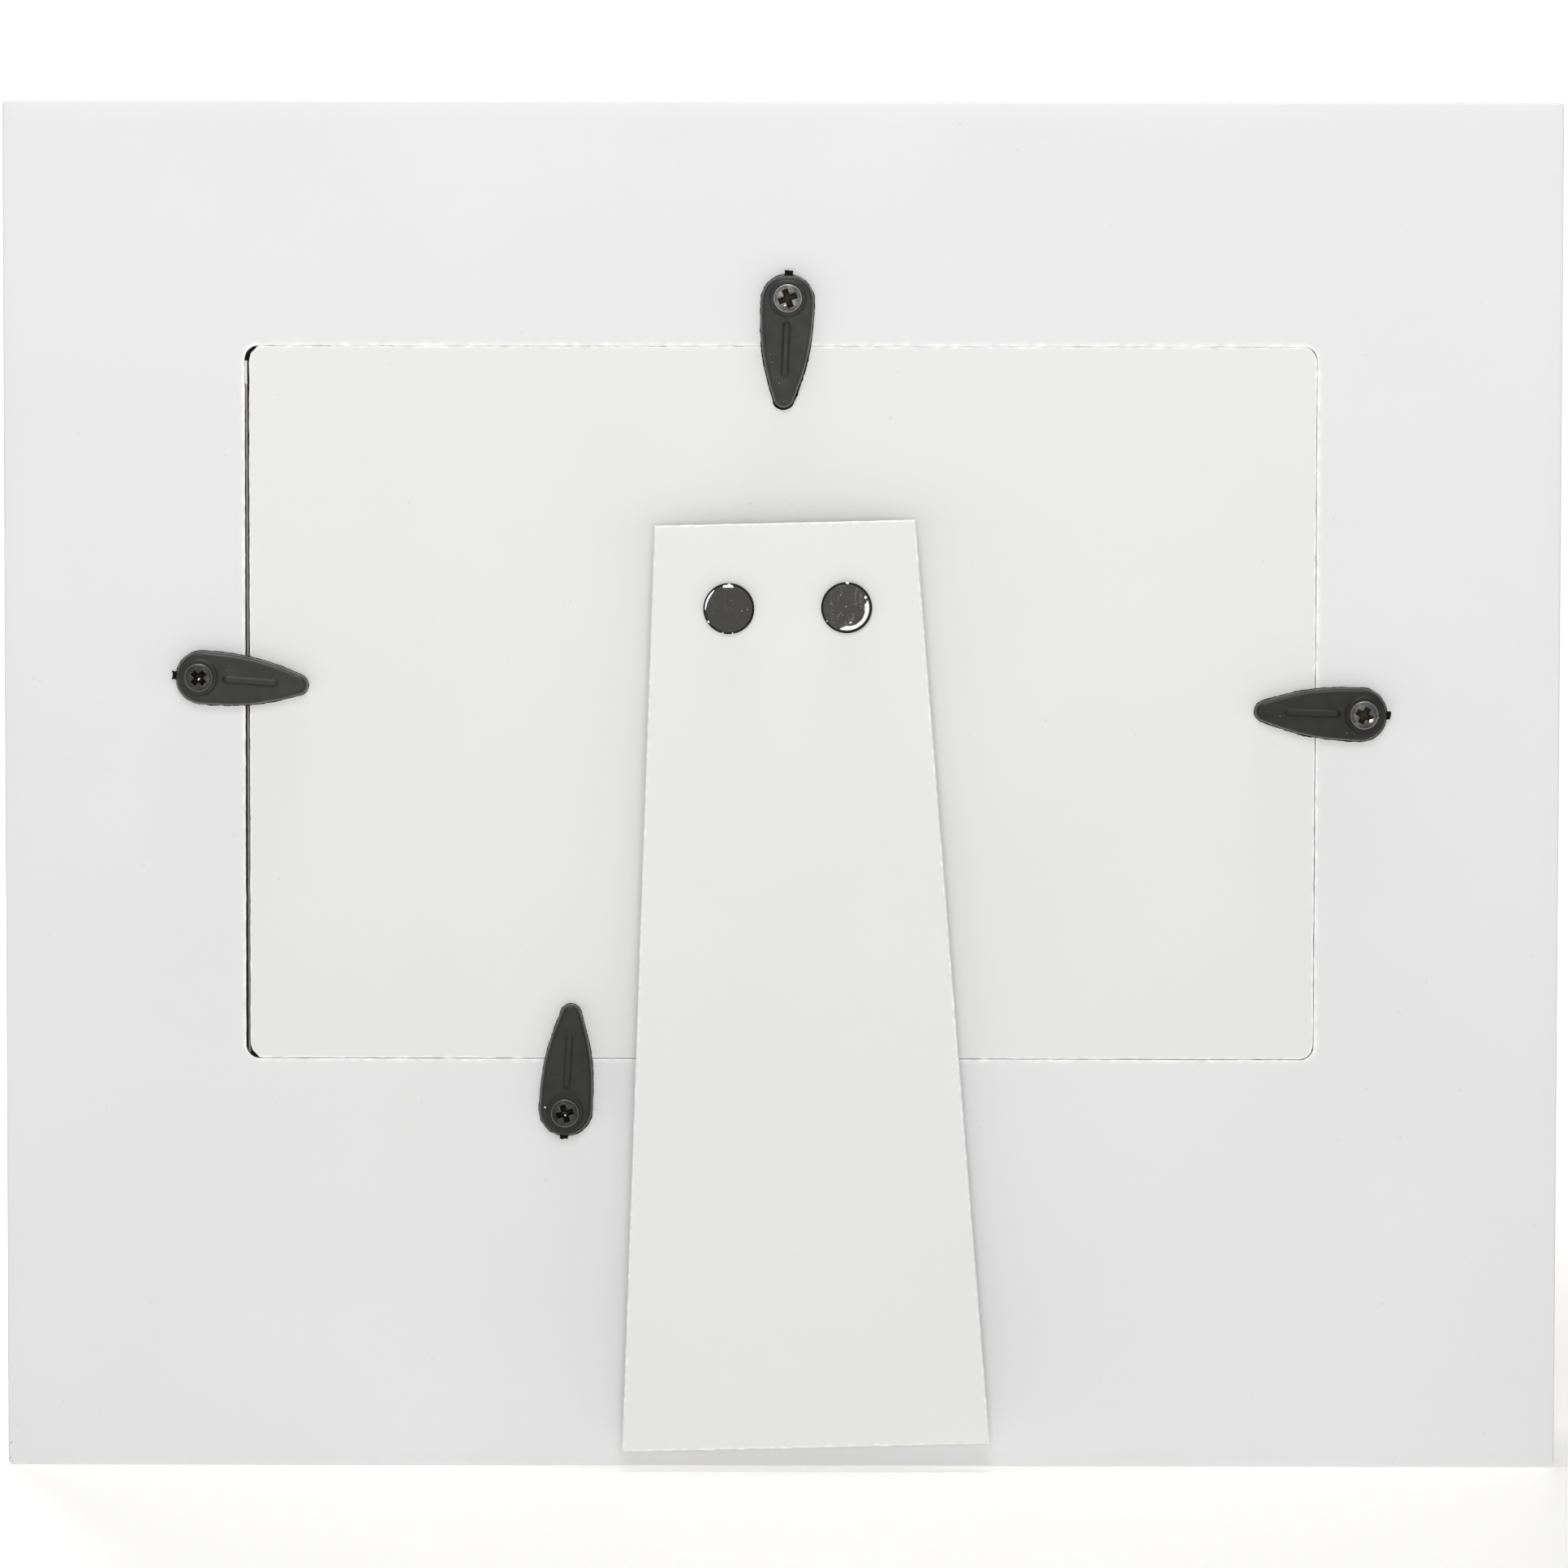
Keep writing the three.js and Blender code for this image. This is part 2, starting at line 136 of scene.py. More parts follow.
def add_studio():
    world = bpy.data.worlds.new("studio")
    world.use_nodes = True
    tree = world.node_tree
    direction = make(tree, "ShaderNodeTexCoord", {}).outputs["Generated"]
    height = make(tree, "ShaderNodeSeparateXYZ", {"Vector": direction}).outputs["Z"]
    sky = ramp(tree, height, [(0.065, (1.05, 1.05, 1.05)), (0.16, (0.05, 0.051, 0.053))])
    tree.links.new(sky, tree.nodes["Background"].inputs["Color"])
    bpy.context.scene.world = world
    bpy.context.scene.view_settings.view_transform = "Standard"
    add_area_light("front_softbox", (0, 1.3, 0.15), (0, 0, 0.1), (0.34, 0.3), 4.3, (1, 1, 1))
    add_area_light("high_softbox", (0, 0.7, 0.6), (0, 0, 0.1), (0.34, 0.3), 1.8, (1, 1, 1))
    add_area_light("top_softbox", (0, 0.05, 0.9), (0, 0.03, 0), (0.5, 0.06), 4.2, (0.98, 0.99, 1))
    add_area_light("far_side_softbox", (0.3, -1.2, 0.5), (0, 0, 0.1), (0.5, 0.4), 6, (1, 1, 1))

    bpy.ops.mesh.primitive_circle_add(vertices=96, radius=30, fill_type="NGON")
    floor = bpy.context.object
    floor.name = "floor"
    material, tree, shader = new_material("pale_floor")
    grain = noise_texture(tree, 40, detail=3)
    link(tree, two_tone(tree, grain, (0.345, 0.342, 0.332), (0.355, 0.352, 0.342)), shader, "Base Color")
    shader.inputs["Roughness"].default_value = 0.5
    shader.inputs["Emission Color"].default_value = (1, 0.99, 0.97, 1)
    # The floor glows as well: painted light, weakest near the frame, stronger behind it and strongest far
    # off.
    place = place_coordinates(tree)
    away = make(tree, "ShaderNodeVectorMath", {0: place}, operation="LENGTH").outputs["Value"]
    rearward = make(tree, "ShaderNodeSeparateXYZ", {"Vector": place}).outputs["Y"]
    middle_glow = between(tree, rearward, 0.1, -0.1, 0.77, 1)
    outer_glow = between(tree, away, 0.7, 1.4, middle_glow, 1)
    link(tree, between(tree, away, 0.16, 0.5, 0.6, outer_glow), shader, "Emission Strength")
    floor.data.materials.append(material)


# ---------------- shader helpers


def new_material(name):
    material = bpy.data.materials.new(name)
    material.use_nodes = True
    tree = material.node_tree
    return material, tree, tree.nodes["Principled BSDF"]


def link(tree, output, node, socket):
    tree.links.new(output, node.inputs[socket])


def make(tree, kind, inputs, **settings):
    """A node with its settings and inputs. An input is a plain value or another node's output."""
    node = tree.nodes.new(kind)
    for key, value in settings.items():
        setattr(node, key, value)
    for key, value in inputs.items():
        if isinstance(value, bpy.types.NodeSocket):
            tree.links.new(value, node.inputs[key])
        else:
            node.inputs[key].default_value = value
    return node


def place_coordinates(tree):
    return make(tree, "ShaderNodeTexCoord", {}).outputs["Object"]


def noise_texture(tree, scale, detail=2.0, roughness=0.5, distortion=0.0, stretch=None):
    """Noise over the object's own place, with its scale in cells per metre."""
    vector = place_coordinates(tree)
    if stretch:
        vector = make(tree, "ShaderNodeMapping", {"Vector": vector, "Scale": stretch}).outputs["Vector"]
    inputs = {"Vector": vector, "Scale": scale, "Detail": detail, "Roughness": roughness}
    return make(tree, "ShaderNodeTexNoise", inputs | {"Distortion": distortion}).outputs["Fac"]


def ramp(tree, value, stops):
    """A colour from a number, by stops of (place, (r, g, b))."""
    node = make(tree, "ShaderNodeValToRGB", {"Fac": value})
    elements = node.color_ramp.elements
    while len(elements) < len(stops):
        elements.new(0.5)
    for element, (place, colour) in zip(elements, stops):
        element.position = place
        element.color = (*colour, 1)
    return node.outputs["Color"]


def two_tone(tree, value, dark, light):
    """A colour that goes from one tone to the other over the middle of a noise's range."""
    return ramp(tree, value, [(0.3, dark), (0.7, light)])


def maths(tree, operation, *values, **settings):
    inputs = dict(enumerate(values))
    return make(tree, "ShaderNodeMath", inputs, operation=operation, **settings).outputs["Value"]


def between(tree, value, low, high, out_low, out_high):
    """A number remapped from one range to another, and held inside it."""
    inputs = {"Value": value, "From Min": low, "From Max": high, "To Min": out_low, "To Max": out_high}
    return make(tree, "ShaderNodeMapRange", inputs).outputs["Result"]


def mixed(tree, share, first, second):
    """One colour laid over another by a share from 0 to 1."""
    node = tree.nodes.new("ShaderNodeMix")
    node.data_type = "RGBA"
    for index, value in ((0, share), (6, first), (7, second)):
        if isinstance(value, bpy.types.NodeSocket):
            tree.links.new(value, node.inputs[index])
        else:
            node.inputs[index].default_value = (*value, 1) if index else value
    return node.outputs[2]


def bumped(tree, shader, layers):
    """Bump from layers of (height, depth in millimetres, strength)."""
    normal = None
    for height, depth, strength in layers:
        inputs = {"Height": height, "Distance": depth * MM, "Strength": strength}
        if normal:
            inputs["Normal"] = normal
        normal = make(tree, "ShaderNodeBump", inputs).outputs["Normal"]
    link(tree, normal, shader, "Normal")


# ---------------- materials


def white_paint(name, light, shade, roughness):
    """Satin white paint with faint mottling, orange peel, thicker edges and a few fine specks. Its thicker
    edges are whitened, partly build-up and partly a painted edge highlight.
    """
    material, tree, shader = new_material(name)
    mottle = noise_texture(tree, 30, detail=4)
    colour = two_tone(tree, mottle, shade, light)
    specks = noise_texture(tree, 900, detail=1)
    speck_share = between(tree, specks, 0.8, 0.83, 0, 0.25)
    colour = mixed(tree, speck_share, colour, (0.5, 0.49, 0.47))
    # Thicker paint is whitened: partly build-up, partly a painted edge highlight.
    colour = mixed(tree, attribute(tree, "heaped_paint_highlight"), colour, (0.93, 0.93, 0.92))
    link(tree, colour, shader, "Base Color")
    gloss = between(tree, noise_texture(tree, 120, detail=2), 0.3, 0.7, roughness - 0.06, roughness + 0.06)
    link(tree, gloss, shader, "Roughness")
    shader.inputs["Specular IOR Level"].default_value = 0.3
    peel = noise_texture(tree, 700, detail=2)
    bumped(tree, shader, [(peel, 0.03, 0.25), (mottle, 0.05, 0.15)])
    return material


def unpainted_board_shade():
    """Unpainted fibreboard inside the rebate, dusted with stray paint. Its dark tone also stands for the
    shade deep in the gaps: painted shade.
    """
    material, tree, shader = new_material("unpainted_board_shade")
    fibre = noise_texture(tree, 1400, detail=4)
    colour = two_tone(tree, fibre, (0.1, 0.08, 0.06), (0.2, 0.165, 0.13))
    dust = between(tree, noise_texture(tree, 160, detail=3), 0.4, 0.65, 0.1, 0.5)
    link(tree, mixed(tree, dust, colour, (0.5, 0.5, 0.49)), shader, "Base Color")
    shader.inputs["Roughness"].default_value = 0.9
    bumped(tree, shader, [(fibre, 0.05, 0.5)])
    return material


def attribute(tree, name):
    """A number stored on a mesh's points."""
    return make(tree, "ShaderNodeAttribute", {}, attribute_name=name).outputs["Fac"]


def black_plastic(side):
    """A button's black moulding: a matte spark-eroded top, smoother shoulders and a ledge lightened as a
    painted edge highlight.
    """
    material, tree, shader = new_material(f"black_plastic_{side}")
    flow = noise_texture(tree, 140, detail=3, distortion=0.6)
    colour = two_tone(tree, flow, (0.012, 0.012, 0.0105), (0.018, 0.018, 0.016))
    scuffs = between(tree, noise_texture(tree, 2600, detail=2), 0.74, 0.8, 0, 0.5)
    colour = mixed(tree, scuffs, colour, (0.12, 0.12, 0.11))
    worn = between(tree, noise_texture(tree, 420, detail=3), 0.35, 0.6, 0.5, 1)
    # The ledge is lightened in patches: a painted edge highlight.
    painted_edge_highlight = maths(tree, "MULTIPLY", attribute(tree, "painted_edge_highlight"), worn)
    colour = mixed(tree, painted_edge_highlight, colour, (0.2, 0.2, 0.19))
    link(tree, colour, shader, "Base Color")
    gloss = between(tree, noise_texture(tree, 500, detail=2), 0.3, 0.7, 0.56, 0.66)
    smooth = between(tree, attribute(tree, "smooth"), 0, 1, 1, 0.75)
    link(tree, maths(tree, "MULTIPLY", gloss, smooth), shader, "Roughness")
    shader.inputs["Specular IOR Level"].default_value = FIXINGS[side]["shine"]
    bumped(tree, shader, [(noise_texture(tree, 5200, detail=1), 0.006, 0.5), (flow, 0.05, 0.2)])
    return material


def grained(name, scale, detail, dark, light, roughness, shine=0.5, bump=None):
    """A material in two tones of one noise, with a bump of the same noise as (depth, strength)."""
    material, tree, shader = new_material(name)
    grain = noise_texture(tree, scale, detail=detail)
    link(tree, two_tone(tree, grain, dark, light), shader, "Base Color")
    shader.inputs["Roughness"].default_value = roughness
    shader.inputs["Specular IOR Level"].default_value = shine
    if bump:
        bumped(tree, shader, [(grain, *bump)])
    return material


def shaded_flash_moulding():
    """The thin torn edge of a moulding, also used for the gate stub: near-black as painted contact shadow,
    and dull.
    """
    dark, light = (0.003, 0.003, 0.0025), (0.008, 0.008, 0.007)
    return grained("shaded_flash_moulding", 1800, 2, dark, light, 0.9, shine=0.12, bump=(0.04, 0.6))


def screw_steel(name, dark, light):
    """Blackened or plated steel with worn high spots and a paler rim, which is a painted edge highlight."""
    material, tree, shader = new_material(name)
    patch = noise_texture(tree, 900, detail=3)
    colour = ramp(tree, patch, [(0.35, dark), (0.7, light)])
    # The paler rim is a painted edge highlight.
    rim = mixed(tree, attribute(tree, "painted_edge_highlight"), colour, [min(0.6, 0.12 + 1.5 * c) for c in light])
    link(tree, rim, shader, "Base Color")
    shader.inputs["Metallic"].default_value = 0.6
    link(tree, between(tree, patch, 0.3, 0.7, 0.6, 0.42), shader, "Roughness")
    scratches = noise_texture(tree, 2400, detail=2, stretch=(1, 1, 0.25))
    bumped(tree, shader, [(scratches, 0.015, 0.6), (noise_texture(tree, 1100, detail=2), 0.12, 0.5)])
    return material


def screw_recess(name, tint):
    """The dull, dark inside of a cross recess."""
    return grained(name, 1600, 3, [0.4 * c for c in tint], tint, 0.8, shine=0.2, bump=(0.02, 0.5))


def painted_glint():
    """Bright white spots on the screws, which are painted glints."""
    return grained("painted_glint", 3000, 2, (0.8, 0.8, 0.78), (0.95, 0.95, 0.93), 0.5)


def rivet_enamel(name, worn):
    """Black enamel on a pressed head: scratched by an amount from 0 to 1, and blacker round its rim as
    painted shade.
    """
    material, tree, shader = new_material(name)
    cloud = noise_texture(tree, 420, detail=4)
    paler = 1 + 0.3 * worn
    dark, light = ([paler * c for c in tone] for tone in ((0.03, 0.029, 0.025), (0.042, 0.041, 0.036)))
    colour = two_tone(tree, cloud, dark, light)
    scratch = noise_texture(tree, 1500, detail=4, distortion=1.2, stretch=(1, 1, 0.4))
    share = between(tree, scratch, 0.56, 0.7, 0, 0.4 * worn)
    colour = mixed(tree, share, colour, (0.26, 0.25, 0.22))
    pits = between(tree, noise_texture(tree, 3800, detail=1), 0.72, 0.78, 0, 0.6 * worn)
    colour = mixed(tree, pits, colour, (0.45, 0.43, 0.4))
    # The marked rim is made near-black: painted shade on the shoulder.
    link(tree, mixed(tree, attribute(tree, "flash"), colour, (0.004, 0.004, 0.004)), shader, "Base Color")
    dull = between(tree, attribute(tree, "flash"), 0, 1, 0.64, 1)
    gloss = between(tree, cloud, 0.3, 0.7, -0.06, 0.06)
    link(tree, maths(tree, "ADD", dull, gloss, use_clamp=True), shader, "Roughness")
    shader.inputs["Specular IOR Level"].default_value = 0.35
    bumped(tree, shader, [(scratch, 0.015, 0.3 + 0.4 * worn)])
    return material


def zinc_steel():
    material, tree, shader = new_material("zinc_steel")
    spangle = noise_texture(tree, 500, detail=4)
    link(tree, two_tone(tree, spangle, (0.42, 0.43, 0.44), (0.58, 0.59, 0.6)), shader, "Base Color")
    shader.inputs["Metallic"].default_value = 1
    grain = noise_texture(tree, 1800, detail=2, stretch=(0.15, 1, 1))
    link(tree, between(tree, grain, 0.3, 0.7, 0.28, 0.42), shader, "Roughness")
    bumped(tree, shader, [(grain, 0.01, 0.3)])
    return material


def clear_glass():
    material, tree, shader = new_material("clear_glass")
    smear = noise_texture(tree, 35, detail=3)
    link(tree, two_tone(tree, smear, (0.97, 0.99, 0.98), (1, 1, 1)), shader, "Base Color")
    link(tree, between(tree, smear, 0.3, 0.8, 0.0, 0.03), shader, "Roughness")
    shader.inputs["Transmission Weight"].default_value = 1
    shader.inputs["IOR"].default_value = 1.5
    return material


def printed_landscape():
    """A made-up picture on lustre paper: sky and rows of hills in a white border. The back is plain."""
    material, tree, shader = new_material("printed_landscape")
    low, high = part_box("photo_print")
    middle, half, border = (low + high) / 2, (high - low) / 2, 0.008
    parts = make(tree, "ShaderNodeSeparateXYZ", {"Vector": place_coordinates(tree)})
    across, up = parts.outputs["X"], parts.outputs["Z"]
    height = between(tree, up, low.z, high.z, 0, 1)
    colour = ramp(tree, height, [(0.4, (0.78, 0.66, 0.5)), (0.62, (0.55, 0.66, 0.75)), (1, (0.2, 0.4, 0.62))])
    hills = (
        (0.56, 0.14, 12, (0.2, 0.29, 0.36)),
        (0.42, 0.16, 17, (0.12, 0.22, 0.16)),
        (0.26, 0.12, 24, (0.06, 0.13, 0.06)),
    )
    for level, swing, scale, tint in hills:
        line = make(tree, "ShaderNodeCombineXYZ", {"X": across, "Y": level})
        inputs = {"Vector": line.outputs["Vector"], "Scale": scale, "Detail": 3}
        wave = make(tree, "ShaderNodeTexNoise", inputs)
        crest = between(tree, wave.outputs["Fac"], 0.25, 0.75, level - swing, level + swing)
        below = maths(tree, "SUBTRACT", crest, height)
        leaves = two_tone(tree, noise_texture(tree, 260, detail=4), [0.7 * c for c in tint], tint)
        colour = mixed(tree, between(tree, below, 0, 0.006, 0, 1), colour, leaves)
    white = (0.8, 0.8, 0.78)
    for place, centre, reach in ((across, middle.x, half.x - border), (up, middle.z, half.z - border)):
        off = maths(tree, "ABSOLUTE", maths(tree, "SUBTRACT", place, centre))
        colour = mixed(tree, between(tree, off, reach, reach + 0.0002, 0, 1), colour, white)
    normal = make(tree, "ShaderNodeTexCoord", {}).outputs["Normal"]
    rearward = make(tree, "ShaderNodeSeparateXYZ", {"Vector": normal}).outputs["Y"]
    link(tree, mixed(tree, between(tree, rearward, -0.9, -0.5, 0, 1), colour, white), shader, "Base Color")
    shader.inputs["Roughness"].default_value = 0.4
    bumped(tree, shader, [(noise_texture(tree, 3500, detail=1), 0.01, 0.3)])
    return material


def card(name, light, dark):
    return grained(name, 1100, 3, dark, light, 0.85, bump=(0.02, 0.4))


# ---------------- mesh helpers


def mesh_object(name, points, faces, materials, face_materials=None, sharp=50):
    """A mesh object from points in millimetres. Edges sharper than the given angle are kept crisp."""
    mesh = bpy.data.meshes.new(name)
    mesh.from_pydata([(x * MM, y * MM, z * MM) for x, y, z in points], [], faces)
    for material in materials:
        mesh.materials.append(material)
    if face_materials:
        mesh.polygons.foreach_set("material_index", face_materials)
    finish_mesh(mesh, sharp)
    piece = bpy.data.objects.new(name, mesh)
    bpy.context.scene.collection.objects.link(piece)
    return piece


def finish_mesh(mesh, sharp):
    mesh.validate()
    mesh.polygons.foreach_set("use_smooth", [True] * len(mesh.polygons))
    mesh.set_sharp_from_angle(angle=math.radians(sharp))
    mesh.update()


def loft_faces(rings, around, closed):
    """Quads between successive rings of the same number of points."""
    faces = []
    for r in range(rings if closed else rings - 1):
        a, b = r * around, ((r + 1) % rings) * around
        for i in range(around):
            j = (i + 1) % around
            faces.append((a + i, a + j, b + j, b + i))
    return faces


def closed_loft_faces(rings, around):
    """The quads of an open loft, and a face over each of its ends."""
    first = tuple(range(around))
    last = tuple((rings - 1) * around + i for i in reversed(first))
    return loft_faces(rings, around, closed=False) + [first, last]


def face_outwards(points, faces):
    """The faces, turned round if the volume they enclose comes out negative."""
    volume = 0.0
    for face in faces:
        a = points[face[0]]
        for k in range(1, len(face) - 1):
            b, c = points[face[k]], points[face[k + 1]]
            volume += (
                a[0] * (b[1] * c[2] - b[2] * c[1])
                - a[1] * (b[0] * c[2] - b[2] * c[0])
                + a[2] * (b[0] * c[1] - b[1] * c[0])
            )
    return faces if volume > 0 else [tuple(reversed(face)) for face in faces]


def set_attribute(piece, name, values):
    stored = piece.data.attributes.new(name, "FLOAT", "POINT")
    stored.data.foreach_set("value", values)


def cut(piece, cutters, sharp=50):
    """The piece with closed cutters taken away. The cutters are removed from the scene."""
    for cutter in cutters:
        modifier = piece.modifiers.new("cut", "BOOLEAN")
        modifier.operation = "DIFFERENCE"
        modifier.solver = "EXACT"
        modifier.object = cutter
    graph = bpy.context.evaluated_depsgraph_get()
    mesh = bpy.data.meshes.new_from_object(piece.evaluated_get(graph))
    piece.modifiers.clear()
    piece.data = mesh
    finish_mesh(mesh, sharp)
    for cutter in cutters:
        bpy.data.objects.remove(cutter)
    return piece


def turned(name, profile, steps, material, place, sharp=50):
    """A closed profile of (radius, y) turned about the Y axis, and moved to its place."""
    rings = [(r, y) for r, y in profile if r > 0]
    points = []
    for r, y in rings:
        for i in range(steps):
            angle = TAU * i / steps
            points.append((place[0] + r * math.cos(angle), y, place[1] + r * math.sin(angle)))
    faces = loft_faces(len(rings), steps, closed=False)
    for end, ring in ((profile[0], 0), (profile[-1], len(rings) - 1)):
        hub = len(points)
        points.append((place[0], end[1], place[1]))
        for i in range(steps):
            a, b = ring * steps + i, ring * steps + (i + 1) % steps
            faces.append((hub, b, a) if ring == 0 else (hub, a, b))
    return mesh_object(name, points, face_outwards(points, faces), [material], sharp=sharp)


def held(value):
    return min(1, max(0, value))


def rough(x, z, size, seed):
    """Smooth noise from about -1 to 1, with lumps of the given size in millimetres."""
    return 1.6 * noise.noise(Vector((x / size, z / size, seed)))


# ---------------- outlines


def rectangle_ring(middle, width, height, radius, counts=(300, 200, 10)):
    """Points (x, z) round a rectangle with rounded corners, always the same number whatever its size."""
    along_x, along_z, round_corner = counts
    right, top = width / 2 - radius, height / 2 - radius
    points = []
    corners = ((right, top), (-right, top), (-right, -top), (right, -top))
    for quarter, (cx, cz) in enumerate(corners):
        for i in range(round_corner):
            angle = (quarter + i / round_corner) * TAU / 4
            points.append((cx + radius * math.cos(angle), cz + radius * math.sin(angle)))
        angle = (quarter + 1) * TAU / 4
        start = (cx + radius * math.cos(angle), cz + radius * math.sin(angle))
        nx, nz = corners[(quarter + 1) % 4]
        end = (nx + radius * math.cos(angle), nz + radius * math.sin(angle))
        steps = along_z if quarter % 2 else along_x
        for i in range(steps):
            points.append(tuple(s + (e - s) * i / steps for s, e in zip(start, end)))
    return [(middle[0] + x, middle[1] + z) for x, z in points]


def inset_corners(corners, inset):
    """A convex polygon's corners, drawn anticlockwise, after every side has moved in by the same distance."""
    moved = []
    for i, corner in enumerate(corners):
        before = (Vector(corner) - Vector(corners[i - 1])).normalized()
        after = (Vector(corners[(i + 1) % len(corners)]) - Vector(corner)).normalized()
        both = Vector((-before.y - after.y, before.x + after.x))
        moved.append(Vector(corner) + both * inset / (1 + before.dot(after)))
    return moved


def polygon_ring(corners, inset, spacing):
    """(point, outward direction) along an inset polygon's sides, always the same number of points."""
    moved = inset_corners(corners, inset)
    ring = []
    for i, start in enumerate(moved):
        side = Vector(corners[(i + 1) % len(corners)]) - Vector(corners[i])
        out = Vector((side.y, -side.x)).normalized()
        end = moved[(i + 1) % len(moved)]
        steps = max(1, round(side.length / spacing))
        ring += [(start + (end - start) * k / steps, out) for k in range(steps)]
    return ring


# ---------------- board, panel and strut


def lip_profile(radius, steps):
    """(inset, drop) pairs of a quarter-round edge, from the top face to the side."""
    quarter = [TAU / 4 * i / steps for i in range(steps + 1)]
    return [(radius * (1 - math.sin(a)), radius * (1 - math.cos(a))) for a in quarter]


def painted_board(paint, unpainted_shade):
    """The routed board: a section swept round in a ring, with ragged paint at the rebate's lip, whitened
    there as a painted edge highlight. The rebate's shelf and deep walls, and its upper wall along one side,
    are unpainted and dark as painted shade in the gaps.
    """
    board_middle = ((BOARD_LOW.x + BOARD_HIGH.x) / 2, (BOARD_LOW.z + BOARD_HIGH.z) / 2)
    board_size = (BOARD_HIGH.x - BOARD_LOW.x, BOARD_HIGH.z - BOARD_LOW.z)
    rebate_middle = (REBATE_MIDDLE.x, REBATE_MIDDLE.z)
    rebate_size = (REBATE["width"], REBATE["height"])
    window_size = [side - 2 * REBATE["lip"] for side in rebate_size]

    def ring(middle, size, grow, radius, y):
        outline = rectangle_ring(middle, size[0] + 2 * grow, size[1] + 2 * grow, max(radius + grow, 0.02))
        return [(x, y, z) for x, z in outline]

    rings, unpainted_shade_rings = [], []
    lip_rings = {}

    def add(made, is_unpainted_shade=False):
        rings.append(made)
        unpainted_shade_rings.append(is_unpainted_shade)

    for grow, drop in reversed(lip_profile(0.15, 4)):
        lip_rings[len(rings)] = 1.0
        add(ring(rebate_middle, rebate_size, grow, REBATE["corner"], REAR - drop))
    for grow, heaped_highlight in ((0.3, 0.75), (0.5, 0.25), (0.9, 0), (2.5, 0)):
        lip_rings[len(rings)] = heaped_highlight
        add(ring(rebate_middle, rebate_size, grow, REBATE["corner"], REAR))
    add(ring(board_middle, board_size, -3, BOARD["corner"] + 3, REAR))
    for grow, drop in lip_profile(BOARD["rear_edge"], 5):
        add(ring(board_middle, board_size, -grow, BOARD["corner"], REAR - drop))
    for grow, drop in reversed(lip_profile(BOARD["front_edge"], 7)):
        add(ring(board_middle, board_size, -grow, BOARD["corner"], FRONT + drop))
    add(ring(board_middle, board_size, -3, BOARD["corner"] + 3, FRONT))
    chamfer = REBATE["chamfer"]
    bevel = ((chamfer + 0.3, 0), (chamfer + 0.05, 0), (chamfer - 0.1, 0.12), (0.12, chamfer - 0.1))
    for grow, depth in bevel:
        add(ring(rebate_middle, window_size, grow, REBATE["window_corner"], FRONT + depth))
    for y in (FRONT + chamfer + 0.1, SHELF - 0.1, SHELF):
        add(ring(rebate_middle, window_size, 0, REBATE["window_corner"], y))
    unpainted_shade_rings[-1] = True
    for grow, y in ((-0.1, SHELF), (0, SHELF), (0, SHELF + 0.2), (0, SHELF + 3), (0, REAR - 1.5)):
        add(ring(rebate_middle, rebate_size, grow, REBATE["corner"], y), is_unpainted_shade=True)
    unpainted_shade_rings[-1] = False
    unpainted_shade_wall_rings = (len(rings) - 1, len(rings))
    add(ring(rebate_middle, rebate_size, 0, REBATE["corner"], REAR - 0.3))

    around = len(rings[0])
    points, heaped_highlight = [], []
    for index, made in enumerate(rings):
        lip = lip_rings.get(index)
        for x, y, z in made:
            if lip:
                wander = 0.05 * rough(x, z, 0.7, 1) + 0.05 * rough(x, z, 2.2, 2)
                toward = Vector((rebate_middle[0] - x, rebate_middle[1] - z))
                nearer_side = abs(toward.x) / rebate_size[0] > abs(toward.y) / rebate_size[1]
                if nearer_side:
                    x += math.copysign(wander * lip, toward.x)
                else:
                    z += math.copysign(wander * lip, toward.y)
                y += 0.03 * lip * max(0.0, rough(x, z, 1.1, 3))
            points.append((x, min(y, REAR + 0.03), z))
            # Thicker paint along the rebate's lip, whitened as a painted edge highlight.
            heaped_highlight.append(0.0 if lip is None else lip * held(0.55 + 0.6 * rough(x, z, 1.3, 4)))
    faces = loft_faces(len(rings), around, closed=True)
    # The upper wall on one side is unpainted and dark: painted shade in the wide gap.
    unpainted_shade_side = rebate_middle[0] + rebate_size[0] / 2 - 1.9
    slots = []
    for index in range(len(faces)):
        on_unpainted_shade_side = index // around in unpainted_shade_wall_rings and points[index][0] > unpainted_shade_side
        slots.append(1 if unpainted_shade_rings[index // around] or on_unpainted_shade_side else 0)
    piece = mesh_object("painted_board", points, face_outwards(points, faces), [paint, unpainted_shade], slots, sharp=60)
    set_attribute(piece, "heaped_paint_highlight", heaped_highlight)
    return piece


